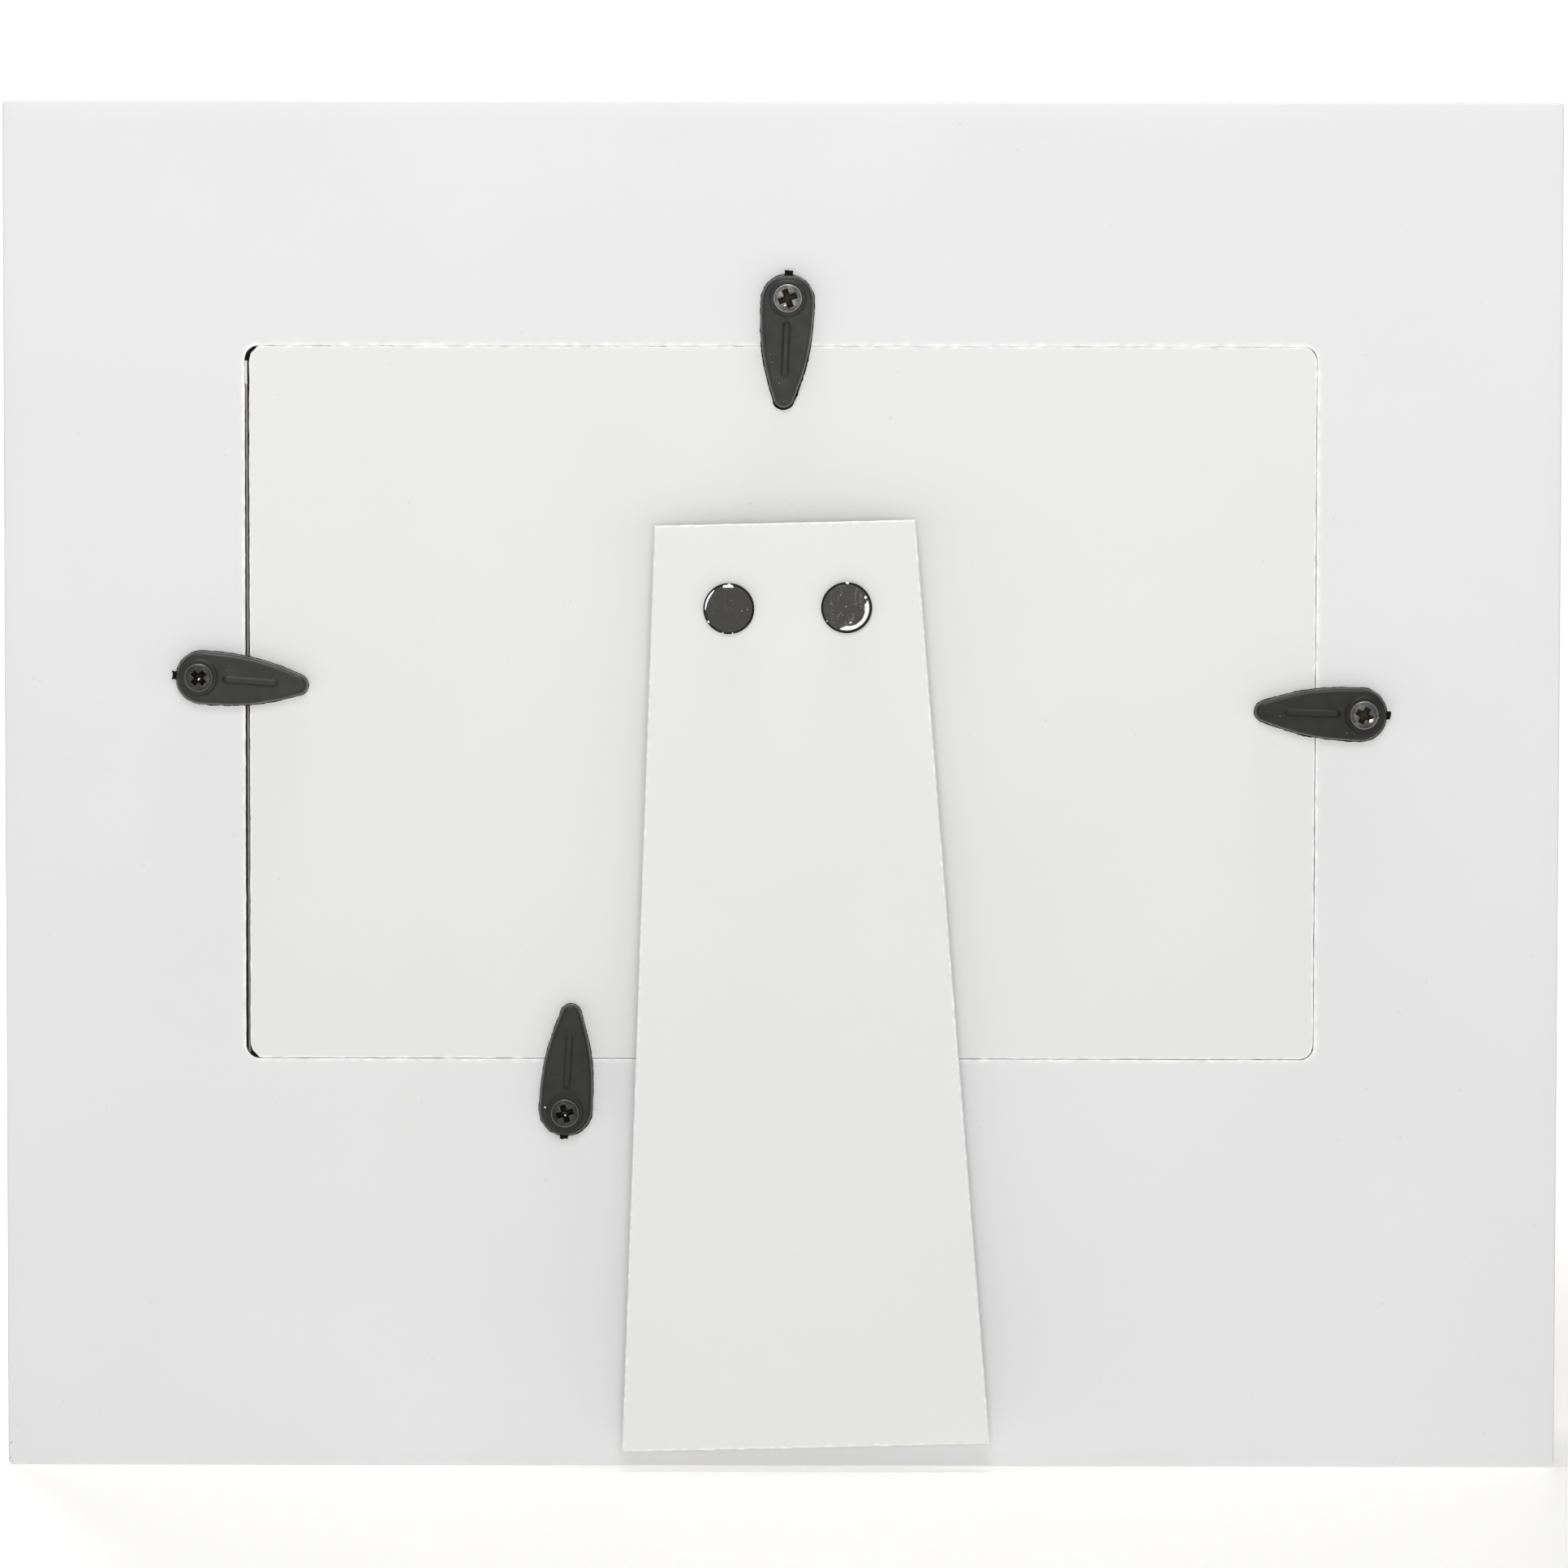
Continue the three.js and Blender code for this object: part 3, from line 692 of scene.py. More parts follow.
def slab(name, corners, low, high, edge, spine, materials, fray, unpainted_shade_beyond=None):
    """A flat board with rounded, slightly frayed edges, whose sides are unpainted and dark, as painted shade,
    wherever x is beyond a limit.

    For a place on its outline, fray gives the wander outwards, the share of thicker paint, which is whitened
    as a painted edge highlight, and its swell.

    Each face closes on its spine, a straight line.
    """
    rounding = lip_profile(edge, 5)
    profile = [(edge + 0.65, high, 0), (edge + 0.25, high, 0), (edge + 0.05, high, 0.4)]
    profile += [(inset, high - drop, 1) for inset, drop in rounding]
    profile += [(inset, low + drop, 0) for inset, drop in reversed(rounding)]
    profile += [(edge + 0.65, low, 0)]
    start, end = Vector(spine[0]), Vector(spine[1])
    along = end - start
    points, heaped_highlight = [], []
    for inset, y, rim in profile:
        near = max(0.0, 1 - inset / (edge + 0.6))
        for point, out in polygon_ring(corners, inset, OUTLINE_SPACING):
            wander, heaped_highlight_share, swell = fray(point)
            x, z = point + out * wander * near
            points.append((x, y + swell * rim, z))
            # The rounded rim's thicker paint, whitened as a painted edge highlight.
            heaped_highlight.append(heaped_highlight_share * rim)
    outline = [point for point, out in polygon_ring(corners, 0, OUTLINE_SPACING)]
    around = len(outline)
    faces = loft_faces(len(profile), around, closed=False)
    slots = []
    for ring in range(len(profile) - 1):
        is_side = low + edge * 0.9 < (profile[ring][1] + profile[ring + 1][1]) / 2 < high - edge * 0.9
        shaded_unpainted = [bool(is_side and unpainted_shade_beyond and point.x > unpainted_shade_beyond) for point in outline]
        slots += [int(side) for side in shaded_unpainted]
    for ring, y in ((0, high), (len(profile) - 1, low)):
        hubs = {}
        keys = []
        for point in outline:
            share = held((point - start).dot(along) / along.length_squared)
            key = round(share * SPINE_STEPS)
            if key not in hubs:
                spot = start + along * key / SPINE_STEPS
                hubs[key] = len(points)
                points.append((spot.x, y, spot.y))
                heaped_highlight.append(0.0)
            keys.append(hubs[key])
        for i in range(around):
            j = (i + 1) % around
            a, b = ring * around + i, ring * around + j
            loop = [a, b, keys[j]] if keys[i] == keys[j] else [a, b, keys[j], keys[i]]
            faces.append(tuple(loop) if ring else tuple(reversed(loop)))
            slots.append(0)
    piece = mesh_object(name, points, face_outwards(points, faces), materials, slots, sharp=60)
    set_attribute(piece, "heaped_paint_highlight", heaped_highlight)
    return piece


def faced_panel(facing, unpainted_shade):
    """The back panel, with its corners cut back and its facing frayed along the saw cut.

    It fits the rebate closely except along one end, where its sides are unpainted and dark as painted shade
    in the wider gap.
    """
    x0, x1, z0, z1 = PANEL_LOW.x, PANEL_HIGH.x, PANEL_LOW.z, PANEL_HIGH.z
    cut_back = [(0, 2.0), (0.3, 0.9), (0.9, 0.27), (1.6, 0)]
    corners = [(x1 - u, z1 - v) for u, v in cut_back] + [(x0 + u, z1 - v) for u, v in reversed(cut_back)]
    corners += [(x0 + u, z0 + v) for u, v in cut_back] + [(x1 - u, z0 + v) for u, v in reversed(cut_back)]

    def fray(point):
        wander = 0.035 * rough(point.x, point.y, 0.6, 11) + 0.035 * rough(point.x, point.y, 2.6, 12)
        loose = point.x > x1 - 0.5 or point.x > x1 - 2 and z0 + 0.2 < point.y < z1 - 0.2
        closer = -0.03 if loose else 0.18 if point.y > z1 - 2 else 0.13
        # The second value is the share of thicker paint, whitened as a painted edge highlight.
        return wander + closer, held(0.5 + 0.8 * rough(point.x, point.y, 1.2, 13)), 0.0

    middle = middle_mm("back_panel")
    spine = [(middle.x + reach, middle.z) for reach in (-SPINE_REACH, SPINE_REACH)]
    return slab("faced_panel", corners, PANEL_LOW.y, PANEL_HIGH.y, 0.15, spine, [facing, unpainted_shade], fray, x1 - 2)


def filler_board(material):
    """The stiff card behind the print, near-black as painted shade in the gaps round the panel. It fills the
    rebate up to its rounded corners.
    """
    x, z = REBATE["width"] / 2 - 0.25, REBATE["height"] / 2 - 0.25
    back = 0.7
    outline = [(x, z - back), (x - back, z), (back - x, z), (-x, z - back)]
    outline += [(-x, back - z), (back - x, -z), (x - back, -z), (x, back - z)]
    corners = [(REBATE_MIDDLE.x + u, REBATE_MIDDLE.z + v) for u, v in outline]

    def fray(point):
        return 0.02 * rough(point.x, point.y, 1.5, 31) - 0.02, 0.0, 0.0

    spine = [(REBATE_MIDDLE.x + reach, REBATE_MIDDLE.z) for reach in (-SPINE_REACH, SPINE_REACH)]
    return slab("filler_board", corners, CARD_LOW.y, CARD_HIGH.y, 0.1, spine, [material], fray)


def liner_strip(material, lit_top_paint):
    """The turned-up edge of a paper liner in the wide gap beside the panel, leaning across as it falls.

    Its grey is darkened as painted shade in the gap, and its top end takes the white facing as painted light
    where it rises nearest the surface.
    """
    wall = REBATE_MIDDLE.x + REBATE["width"] / 2
    top, foot = PANEL_HIGH.z - 2, PANEL_LOW.z + 0.6
    steps, thickness = 60, 0.3
    points = []
    for i in range(steps + 1):
        t = i / steps
        z = top + (foot - top) * t
        outer = wall - 0.04 - 0.24 * t + 0.015 * rough(0, z, 6, 41)
        sunk = 0.25 + 0.9 * smooth_step(top - z, 1.5, 9) + 0.12 * rough(0, z, 3, 42)
        inner, back = outer - thickness, REAR - sunk
        for x, y in ((outer, 0.9), (outer, back), (inner, back), (inner, 0.9)):
            points.append((x, y, z))
    faces = closed_loft_faces(steps + 1, 4)
    slots = [1 if face // 4 < 2 else 0 for face in range(len(faces))]
    faces = face_outwards(points, faces)
    return mesh_object("liner_strip", points, faces, [material, lit_top_paint], slots, sharp=30)


def easel_strut(facing, unpainted_shade):
    """The tapered strut, turned a little from upright about the middle of its head."""
    half_top, half_foot, length = STRUT["top"] / 2, STRUT["foot"] / 2, STRUT["length"]
    spin = Matrix.Rotation(math.radians(-STRUT["skew"]), 2)
    head = Vector((STRUT["x"], STRUT["z"]))

    def place(x, z):
        return tuple(head + spin @ Vector((x, z)))

    corners = [place(half_top, 0), place(-half_top, 0), place(-half_foot, -length), place(half_foot, -length)]
    foot_line = place(0, -length + 1)[1]

    def fray(point):
        at_foot = 1.0 if point.y < foot_line else 0.0
        torn = 0.07 * rough(point.x, 0, 1.6, 22) * at_foot
        wander = 0.03 * rough(point.x, point.y, 0.8, 21) + torn - 0.04
        # Thicker paint along the edges, more at the foot, whitened as a painted edge highlight.
        heaped_highlight = held(0.1 + 0.1 * at_foot + 0.8 * rough(point.x, point.y, 0.9, 23))
        return wander, heaped_highlight, 0.09 * at_foot * max(0.0, rough(point.x, 0, 0.7, 24)) ** 0.5

    spine = [place(0, -19), place(0, -length + 27)]
    low, high = STRUT_LOW.y, STRUT_HIGH.y
    return slab("painted_strut", corners, low, high, STRUT["edge"], spine, [facing, unpainted_shade], fray)


# ---------------- turn buttons


def button_outline():
    """(point, outward direction) round a teardrop that points up from its screw's axis."""
    boss, ahead, tip = BUTTON["boss"], BUTTON["ahead"], BUTTON["tip"]
    turn = math.radians(BUTTON["tip_turn"])
    tip_middle = BUTTON["reach"] - tip
    flank_end = Vector((tip * math.cos(turn), tip_middle + tip * math.sin(turn)))
    pull, shoulder = 4.6, 7.2
    handles = [
        Vector((boss, ahead)),
        Vector((boss, shoulder)),
        flank_end + Vector((pull * math.tan(turn), -pull)),
        flank_end,
    ]
    right = []
    round_steps, flank_steps, tip_steps = 30, 62, 18
    for i in range(round_steps):
        angle = -TAU / 4 + TAU / 4 * i / round_steps
        right.append(Vector((boss * math.cos(angle), ahead + boss * math.sin(angle))))
    for i in range(flank_steps):
        t = i / flank_steps
        weights = ((1 - t) ** 3, 3 * t * (1 - t) ** 2, 3 * t * t * (1 - t), t**3)
        right.append(sum((w * h for w, h in zip(weights, handles)), Vector((0, 0))))
    for i in range(tip_steps + 1):
        angle = turn + (TAU / 4 - turn) * i / tip_steps
        right.append(Vector((tip * math.cos(angle), tip_middle + tip * math.sin(angle))))
    ring = right + [Vector((-p.x, p.y)) for p in reversed(right[1:-1])]
    outline = []
    for i, point in enumerate(ring):
        along = ring[(i + 1) % len(ring)] - ring[i - 1]
        outline.append((point, Vector((along.y, -along.x)).normalized()))
    return outline


def smooth_step(value, low, high):
    t = held((value - low) / (high - low))
    return t * t * (3 - 2 * t)


def button_relief(x, z):
    """The shape of the collar and rib, from 0 to 1, at a place measured from a button's screw."""
    collar = 1 - smooth_step(math.hypot(x, z), 2.35, 2.8)
    along = min(10.75, max(3.95, z))
    rib = 1 - smooth_step(math.hypot(x, z - along), 0.2, 0.68)
    return max(collar, rib)


def turn_button(side, material, flash):
    """A moulded button: ragged flash, a ledge with a painted edge highlight, a rounded shoulder, a collar and
    a rib.
    """
    outline = button_outline()
    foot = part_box(f"turn_button_{side}")[0].y / MM
    top = foot + BUTTON_THICKNESS
    hole = BUTTON["hole"]
    seed = 30 + 7 * sorted(FIXINGS).index(side)
    ledge, shoulder = 0.15, 0.48
    points_to = math.radians(FIXINGS[side]["points"])
    tip_drop, side_drop = math.cos(points_to), -math.sin(points_to)
    rings, marks = [], []

    def add(grow, y, smooth=0.0, painted_edge_highlight=0.0):
        rings.append([(*(p + out * grow), y) for p, out in outline])
        marks.append((smooth, painted_edge_highlight))

    add(-0.3, foot)
    add(-0.05, foot + 0.02)
    for y in (foot + 0.05, foot + 0.15):
        ring = []
        for p, out in outline:
            lower = FIXINGS[side]["flash"] * smooth_step(-out.y * tip_drop - out.x * side_drop, -0.2, 1)
            fin = 0.06 + lower + 0.06 * rough(p.x, p.y, 1.3, seed) + 0.05 * rough(p.x, p.y, 0.45, seed + 1)
            ring.append((*(p + out * max(0.03, fin)), y))
        rings.append(ring)
        marks.append((0, 0))
    add(-0.005, foot + 0.17)
    flash_rings = range(len(rings))
    add(-0.01, foot + 0.3)
    # These rings make up the ledge, lightened as a painted edge highlight.
    add(-0.02, foot + 0.42, painted_edge_highlight=0.4)
    add(-0.05, foot + 0.47, smooth=1, painted_edge_highlight=1)
    add(-ledge, foot + 0.48, smooth=1, painted_edge_highlight=1)
    add(-ledge - 0.015, foot + 0.5)
    for i in range(8):
        angle = TAU / 4 * i / 7
        drop = 0.85 * (1 - math.sin(angle))
        add(-ledge - 0.02 - shoulder * (1 - math.cos(angle)), top - drop, smooth=1 if i < 7 else 0.3)
    start = ledge + 0.02 + shoulder + 0.06
    inner = [p - out * start for p, out in outline]
    steps = 64
    for i in range(steps + 1):
        ring = []
        for outer in inner:
            p = outer + (outer.normalized() * hole - outer) * i / steps
            ring.append((p.x, p.y, top + FIXINGS[side]["relief"] * button_relief(p.x, p.y)))
        rings.append(ring)
        marks.append((0, 0))
    rings.append([(*(outer.normalized() * hole), foot) for outer in inner])
    marks.append((0, 0))
    points = [(x, y, z) for ring in rings for x, z, y in ring]
    faces = loft_faces(len(rings), len(outline), closed=True)
    # The flash rings are near-black: painted contact shadow.
    slots = [1 if face // len(outline) in flash_rings else 0 for face in range(len(faces))]
    faces = face_outwards(points, faces)
    piece = mesh_object(f"moulded_button_{side}", points, faces, [material, flash], slots, sharp=48)
    for index, name in enumerate(("smooth", "painted_edge_highlight")):
        set_attribute(piece, name, [mark[index] for mark in marks for _ in outline])
    return piece


def gate_stub(side, material):
    """The ragged stub that is left where the moulding was snapped off its runner."""
    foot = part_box(f"turn_button_{side}")[0].y / MM
    seed = 60 + 5 * sorted(FIXINGS).index(side)
    start = BUTTON["ahead"] - BUTTON["boss"]
    points = []
    lengths, around = (0.3, 0.0, -0.2, -0.42), 16
    for step, z in enumerate(lengths):
        for i in range(around):
            angle = TAU * i / around
            half_width, half_height = (0.72, 0.6, 0.56, 0.62)[step], 0.36 - 0.03 * step
            squared = (abs(math.cos(angle)) ** 4 + abs(math.sin(angle)) ** 4) ** -0.25
            x = half_width * squared * math.cos(angle)
            y = foot + 0.55 + half_height * squared * math.sin(angle)
            torn = 0.22 * rough(x * 3, y * 3, 1, seed) if step == len(lengths) - 1 else 0
            points.append((x, y, start + z + torn))
    faces = closed_loft_faces(len(lengths), around)
    return mesh_object(f"gate_stub_{side}", points, face_outwards(points, faces), [material], sharp=30)


def aim_button(piece, side):
    """Turns a piece drawn about the origin to where its button points, about its screw."""
    centre = middle_mm(f"button_screw_{side}") * MM
    spin = Matrix.Rotation(math.radians(FIXINGS[side]["points"]), 4, "Y")
    piece.data.transform(Matrix.Translation((centre.x, 0, centre.z)) @ spin)
    return piece


# ---------------- screws and rivets


def screw(side, metal, inside):
    """A pan-head wood screw with a paler rim, which is a painted edge highlight, and a tapered cross recess.
    """
    low, high = box_mm(f"button_screw_{side}")
    centre = (low + high) / 2
    head, seat, top = (high.x - low.x) / 2, high.y - SCREW_HEAD, high.y
    profile = [(0, low.y), (0.25, low.y + 0.35), (0.98, low.y + 2.2), (1.0, seat - 0.05), (1.0, seat)]
    profile += [(head - 0.08, seat), (head, seat + 0.06), (head, top - 0.5), (head - 0.03, top - 0.36)]
    profile += [(head - 0.1, top - 0.24), (head - 0.22, top - 0.15), (head - 0.45, top - 0.09)]
    profile += [(0.6 * head, top - 0.045), (0.3 * head, top - 0.01), (0, top)]
    piece = turned(f"screw_{side}", profile, 72, metal, (centre.x, centre.z), sharp=40)
    turn, reach = FIXINGS[side]["cross"], FIXINGS[side]["reach"]
    cut(piece, [cross_cutter(centre, top, turn, reach)], sharp=40)
    piece.data.materials.append(inside)
    for face in piece.data.polygons:
        middle = face.center / MM
        off = math.hypot(middle.x - centre.x, middle.z - centre.z)
        if seat < middle.y < top - 0.1 and off < 1.5:
            face.material_index = 1
    # The rim is marked for lightening: a painted edge highlight.
    rim = []
    for vertex in piece.data.vertices:
        off = math.hypot(vertex.co.x / MM - centre.x, vertex.co.z / MM - centre.z)
        rim.append(1.0 if vertex.co.y / MM > top - 0.3 and head - 0.15 < off < head - 0.02 else 0.0)
    set_attribute(piece, "painted_edge_highlight", rim)
    return piece


def cross_cutter(centre, top, turn, reach):
    """A closed cross with flared arms that narrows as it goes in. Its turn is anticlockwise from behind."""
    levels = ((top + 0.3, 0.04, 0.48, 0.4), (top - 0.2, -0.03, 0.44, 0.37), (top - 0.95, -0.6, 0.22, 0.2))
    points = []
    for y, further, end, waist in levels:
        arm = [(reach + further, -end), (reach + further, end), (waist + 0.05, waist + 0.05)]
        for quarter in range(4):
            spin = Matrix.Rotation(math.radians(-turn) + quarter * TAU / 4, 2)
            for corner in arm:
                p = spin @ Vector(corner)
                points.append((centre.x + p.x, y, centre.z + p.y))
    faces = closed_loft_faces(len(levels), 12)
    return mesh_object("cross_cutter", points, face_outwards(points, faces), [])


# How far each rivet is set off the middle of its CAD node.
RIVET_SET = {"left": Vector((-0.15, 0, -0.17)), "right": Vector((0, 0, 0))}


def strut_rivet(side, material):
    """A wide flat rivet head with a blacker shoulder at its rim, which is painted shade, and its shank and
    tail.
    """
    low, high = box_mm(f"strut_rivet_{side}")
    centre = (low + high) / 2 + RIVET_SET[side]
    head = (high.x - low.x) / 2
    seat = high.y - RIVET_HEAD
    tail = low.y + 0.6
    profile = [(0, low.y), (2.0, low.y), (2.25, low.y + 0.08), (2.4, low.y + 0.3), (2.4, tail), (1.5, tail)]
    profile += [(1.5, seat), (head - 0.1, seat), (head, seat + 0.1), (head, high.y - 0.45)]
    profile += [(head - 0.06, high.y - 0.28), (head - 0.15, high.y - 0.16), (head - 0.24, high.y - 0.09)]
    profile += [(head - 0.33, high.y - 0.06), (0.75 * head, high.y - 0.03), (0.4 * head, high.y - 0.01)]
    profile += [(0, high.y)]
    piece = turned(f"rivet_head_{side}", profile, 96, material, (centre.x, centre.z), sharp=50)
    # The rim marked here is darkened in the enamel as painted shade.
    rim = []
    for vertex in piece.data.vertices:
        off = math.hypot(vertex.co.x / MM - centre.x, vertex.co.z / MM - centre.z)
        rim.append(1.0 if off > head - 0.25 else 0.0)
    set_attribute(piece, "flash", rim)
    return piece


# ---------------- paint flakes and painted glints


def flakes(name, shapes, material):
    """Thin raised flakes. Each is (centre, thickness, outline): a 3-D place and points seen from behind."""
    points, faces = [], []
    for centre, thickness, outline in shapes:
        count, first = len(outline), len(points)
        middle = (sum(u for u, v in outline) / count, sum(v for u, v in outline) / count)
        for shrink, lift in ((1, -0.02), (1, 0.6 * thickness), (0.7, thickness)):
            for u, v in outline:
                u, v = (m + shrink * (c - m) for m, c in zip(middle, (u, v)))
                points.append((centre[0] - u, centre[1] + lift, centre[2] + v))
        for ring in range(2):
            for i in range(count):
                j = (i + 1) % count
                a, b = first + ring * count, first + (ring + 1) * count
                faces.append((a + i, a + j, b + j, b + i))
        faces.append(tuple(first + i for i in reversed(range(count))))
        faces.append(tuple(first + 2 * count + i for i in range(count)))
    return mesh_object(name, points, face_outwards(points, faces), [material], sharp=40)


def crescent(radius, start, end, width, seed):
    """A ragged crescent inside a circle, from one clock angle to another in degrees, as (u, v) points."""
    steps = 26
    outer, inner = [], []
    for i in range(steps + 1):
        t = i / steps
        angle = math.radians(start + (end - start) * t)
        torn = 0.3 * rough(9 * t, 0, 0.6, seed)
        thickness = width * math.sin(math.pi * held(0.04 + 0.92 * t)) ** 0.5 * (1 + torn)
        outer.append((radius * math.sin(angle), radius * math.cos(angle)))
        inner.append(((radius - thickness) * math.sin(angle), (radius - thickness) * math.cos(angle)))
    return outer + inner[::-1]


def blot(u, v, size, seed, stretch=1.0, turn=0.0):
    """A small irregular spot, as (u, v) points."""
    made = []
    for i in range(10):
        angle = TAU * i / 10
        reach = size * (1 + 0.35 * rough(math.cos(angle), math.sin(angle), 0.8, seed))
        place = Vector((reach * stretch * math.cos(angle), reach * math.sin(angle)))
        p = Matrix.Rotation(math.radians(turn), 2) @ place
        made.append((u + p.x, v + p.y))
    return made


def rivet_flakes(side, material):
    """White paint that caught on a rivet head."""
    low, high = box_mm(f"strut_rivet_{side}")
    middle = (low + high) / 2 + RIVET_SET[side]
    centre = (middle.x, high.y - 0.06, middle.z)
    if side == "left":
        hat = [(-0.87, 3.02), (0.7, 3.02), (0.55, 3.35), (0.3, 3.45)]
        hat += [(0.05, 3.68), (-0.25, 3.42), (-0.8, 3.36)]
        outlines = [hat, crescent(3.42, 322, 267, 0.27, 81)]
        outlines += [blot(-2.9, -1.85, 0.12, 82, 1.6, -50)]
        outlines += [blot(-0.85, -3.45, 0.1, 83), blot(0.55, -3.5, 0.11, 84)]
        outlines += [blot(0.35, 1.2, 0.05, 85), blot(1.9, -0.3, 0.06, 86), blot(2.65, -0.1, 0.06, 87)]
    else:
        outlines = [blot(0.1, 3.58, 0.17, 91, 1.5), blot(2.72, 1.5, 0.2, 92)]
        outlines += [crescent(3.22, 71, 197, 0.36, 93)]
        outlines += [blot(2.75, 0.5, 0.1, 94, 2.2, 10), blot(2.7, -0.15, 0.09, 95, 2.4, 20)]
        outlines += [blot(0.6, -2.1, 0.1, 96, 2.2, 30)]
        outlines += [blot(-0.9, 1.85, 0.07, 97), blot(-0.1, 0.15, 0.07, 98)]
        outlines += [blot(-2.8, -1.9, 0.08, 99), blot(1.1, 0.55, 0.05, 100), blot(-0.5, -1.05, 0.05, 101)]
    return flakes(f"paint_on_rivet_{side}", [(centre, 0.06, outline) for outline in outlines], material)


MARK_THICKNESS = 0.03

# Painted glints in and on the screw heads, from each head's middle as seen from behind:
# across, up, size, stretch, turn and depth below the top of the head.
PAINTED_GLINTS = {
    "top": [(-0.35, -0.95, 0.13, 1.8, 35, 0.06), (-0.5, -1.3, 0.06, 1.6, 70, 0.1)],
    "left": [(0.02, -0.2, 0.13, 1.6, 60, 0.6)],
    "right": [(0.95, -0.72, 0.24, 1.5, 40, 0.03), (2.0, -0.38, 0.08, 1.2, 0, 0.75)],
    "bottom": [
        (0.05, -0.28, 0.14, 1, 0, 0.6),
        (-0.2, 0.1, 0.03, 1.6, 10, 0.5),
        (0.15, 0.12, 0.03, 1.6, 10, 0.5),
    ],
}

# White paint flecks on top of the buttons, placed in the same way and without a depth. The bottom button's
# second fleck, on its rib, is a painted highlight.
FLECKS = {
    "bottom": [(-2.9, 0.75, 0.13, 1, 0), (0.65, 9.6, 0.04, 1, 0)],
    "right": [(-12.0, -0.2, 0.04, 1.2, 0), (-2.4, -2.6, 0.04, 1, 0)],
    "top": [(-2.2, -9.1, 0.03, 1.5, 60), (-2.5, -8.0, 0.03, 1, 0), (-1.2, -12.1, 0.04, 1, 0)],
    "left": [(2.3, -1.5, 0.03, 1, 0), (4.0, 1.1, 0.03, 1, 0)],
}

# Chips in the paint of the board's back, from its lower left corner as seen from behind: across, up, size and
# stretch, and how far the chip is turned.
CHIPS = [(0.42, 3.2, 0.12, 1.8, 80), (0.36, 0.95, 0.1, 1.8, 75), (0.62, 0.5, 0.1, 1.3, 30)]


def paint_chips(material):
    """Spots where the board's paint is chipped, as thin dull scabs."""
    corner = (BOARD_HIGH.x, REAR - 0.005, BOARD_LOW.z)
    shapes = []
    for index, (u, v, size, stretch, turn) in enumerate(CHIPS):
        shapes.append((corner, 0.015, blot(u, v, size, 140 + index, stretch, turn)))
    return flakes("paint_chips", shapes, material)


def small_marks(name, side, marks, top, seed, material):
    """Painted glints or paint flecks at their places from a screw's axis, on a face whose height is given."""
    centre = middle_mm(f"button_screw_{side}")
    shapes = []
    for index, (u, v, size, stretch, turn, *depth) in enumerate(marks):
        outline = blot(u, v, size, seed + index, stretch, turn)
        shapes.append(((centre.x, top - sum(depth), centre.z), MARK_THICKNESS, outline))
    return flakes(name, shapes, material)


# ---------------- making and placing

add_camera()
add_studio()

paint = white_paint("satin_paint", (0.755, 0.757, 0.765), (0.735, 0.736, 0.74), 0.62)
facing = white_paint("white_facing", (0.76, 0.76, 0.755), (0.745, 0.745, 0.738), 0.62)
unpainted_shade = unpainted_board_shade()
zinc = zinc_steel()
glint = painted_glint()
flake_paint = white_paint("flake_paint", (0.9, 0.9, 0.89), (0.85, 0.85, 0.84), 0.5)
screw_metals = {
    "top": screw_steel("screw_steel_top", (0.06, 0.058, 0.054), (0.2, 0.195, 0.185)),
    "left": screw_steel("screw_steel_left", (0.02, 0.02, 0.018), (0.045, 0.045, 0.042)),
    "right": screw_steel("screw_steel_right", (0.035, 0.034, 0.03), (0.11, 0.107, 0.1)),
    "bottom": screw_steel("screw_steel_bottom", (0.02, 0.02, 0.018), (0.05, 0.05, 0.046)),
}
dark_recess = screw_recess("dark_recess", (0.012, 0.011, 0.009))
brown_recess = screw_recess("brown_recess", (0.055, 0.04, 0.028))
flash = shaded_flash_moulding()


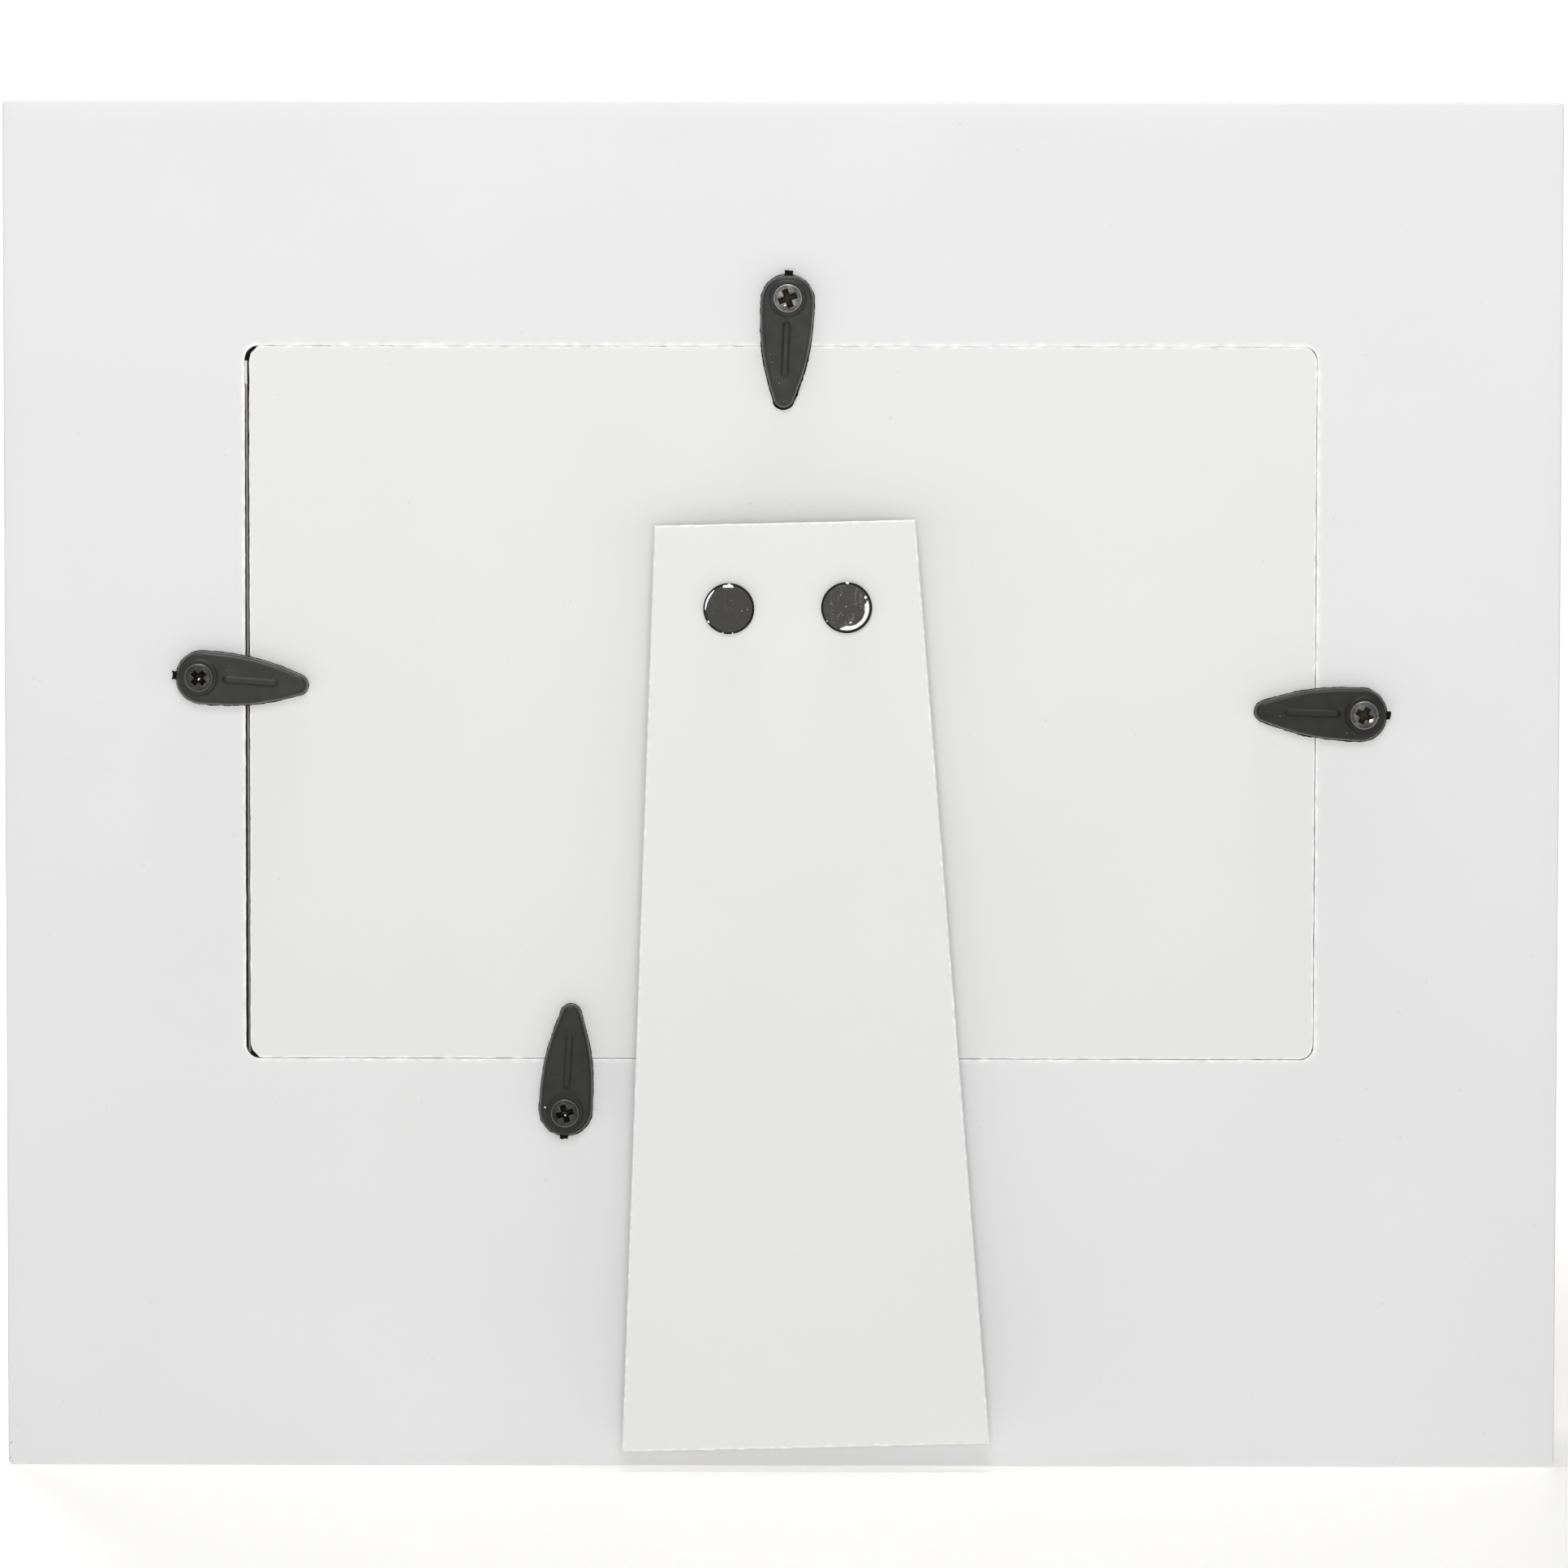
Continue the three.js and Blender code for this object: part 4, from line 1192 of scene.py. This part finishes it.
def keep(node, material):
    """Gives a CAD node a better material."""
    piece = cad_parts[node]
    piece.data.materials.clear()
    piece.data.materials.append(material)


def carry(piece, body):
    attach(piece, body)


def stand_for(piece, node, body):
    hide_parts(node)
    carry(piece, body)


stand_for(painted_board(paint, unpainted_shade), "frame_body", "frame")
stand_for(faced_panel(facing, unpainted_shade), "back_panel", "frame")
stand_for(easel_strut(facing, unpainted_shade), "easel_strut", "strut")
keep("glass_pane", clear_glass())
keep("photo_print", printed_landscape())
# Grey liner paper darkened as painted shade; its white top end is painted light.
strip = liner_strip(card("shaded_liner", (0.38, 0.37, 0.35), (0.29, 0.28, 0.265)), facing)
carry(strip, "frame")
chips = paint_chips(card("chipped_paint", (0.56, 0.55, 0.53), (0.44, 0.43, 0.41)))
carry(chips, "frame")
# Near-black card: painted shade seen through the gaps.
shade_card = card("shade_card", (0.05, 0.047, 0.043), (0.03, 0.028, 0.026))
stand_for(filler_board(shade_card), "filler_card", "frame")
for node in ("hinge_panel_leaf", "hinge_strut_leaf", "hinge_pin", "panel_rivet_left", "panel_rivet_right"):
    keep(node, zinc)

for side in FIXINGS:
    body = f"button_{side}"
    button = aim_button(turn_button(side, black_plastic(side), flash), side)
    stand_for(button, f"turn_button_{side}", body)
    stub = aim_button(gate_stub(side, flash), side)
    carry(stub, body)
    inside = brown_recess if side in ("top", "right") else dark_recess
    stand_for(screw(side, screw_metals[side], inside), f"button_screw_{side}", "frame")
    head_top = box_mm(f"button_screw_{side}")[1].y
    # White spots on the screw heads: painted glints.
    glint_spots = small_marks(f"burrs_{side}", side, PAINTED_GLINTS[side], head_top, 110, glint)
    carry(glint_spots, "frame")
    face = box_mm(f"turn_button_{side}")[0].y + BUTTON_THICKNESS
    flecks = small_marks(f"paint_flecks_{side}", side, FLECKS[side], face, 120, flake_paint)
    carry(flecks, body)

for side, worn in (("left", 0.15), ("right", 1.0)):
    enamel = rivet_enamel(f"rivet_enamel_{side}", worn)
    stand_for(strut_rivet(side, enamel), f"strut_rivet_{side}", "strut")
    flake = rivet_flakes(side, flake_paint)
    carry(flake, "strut")
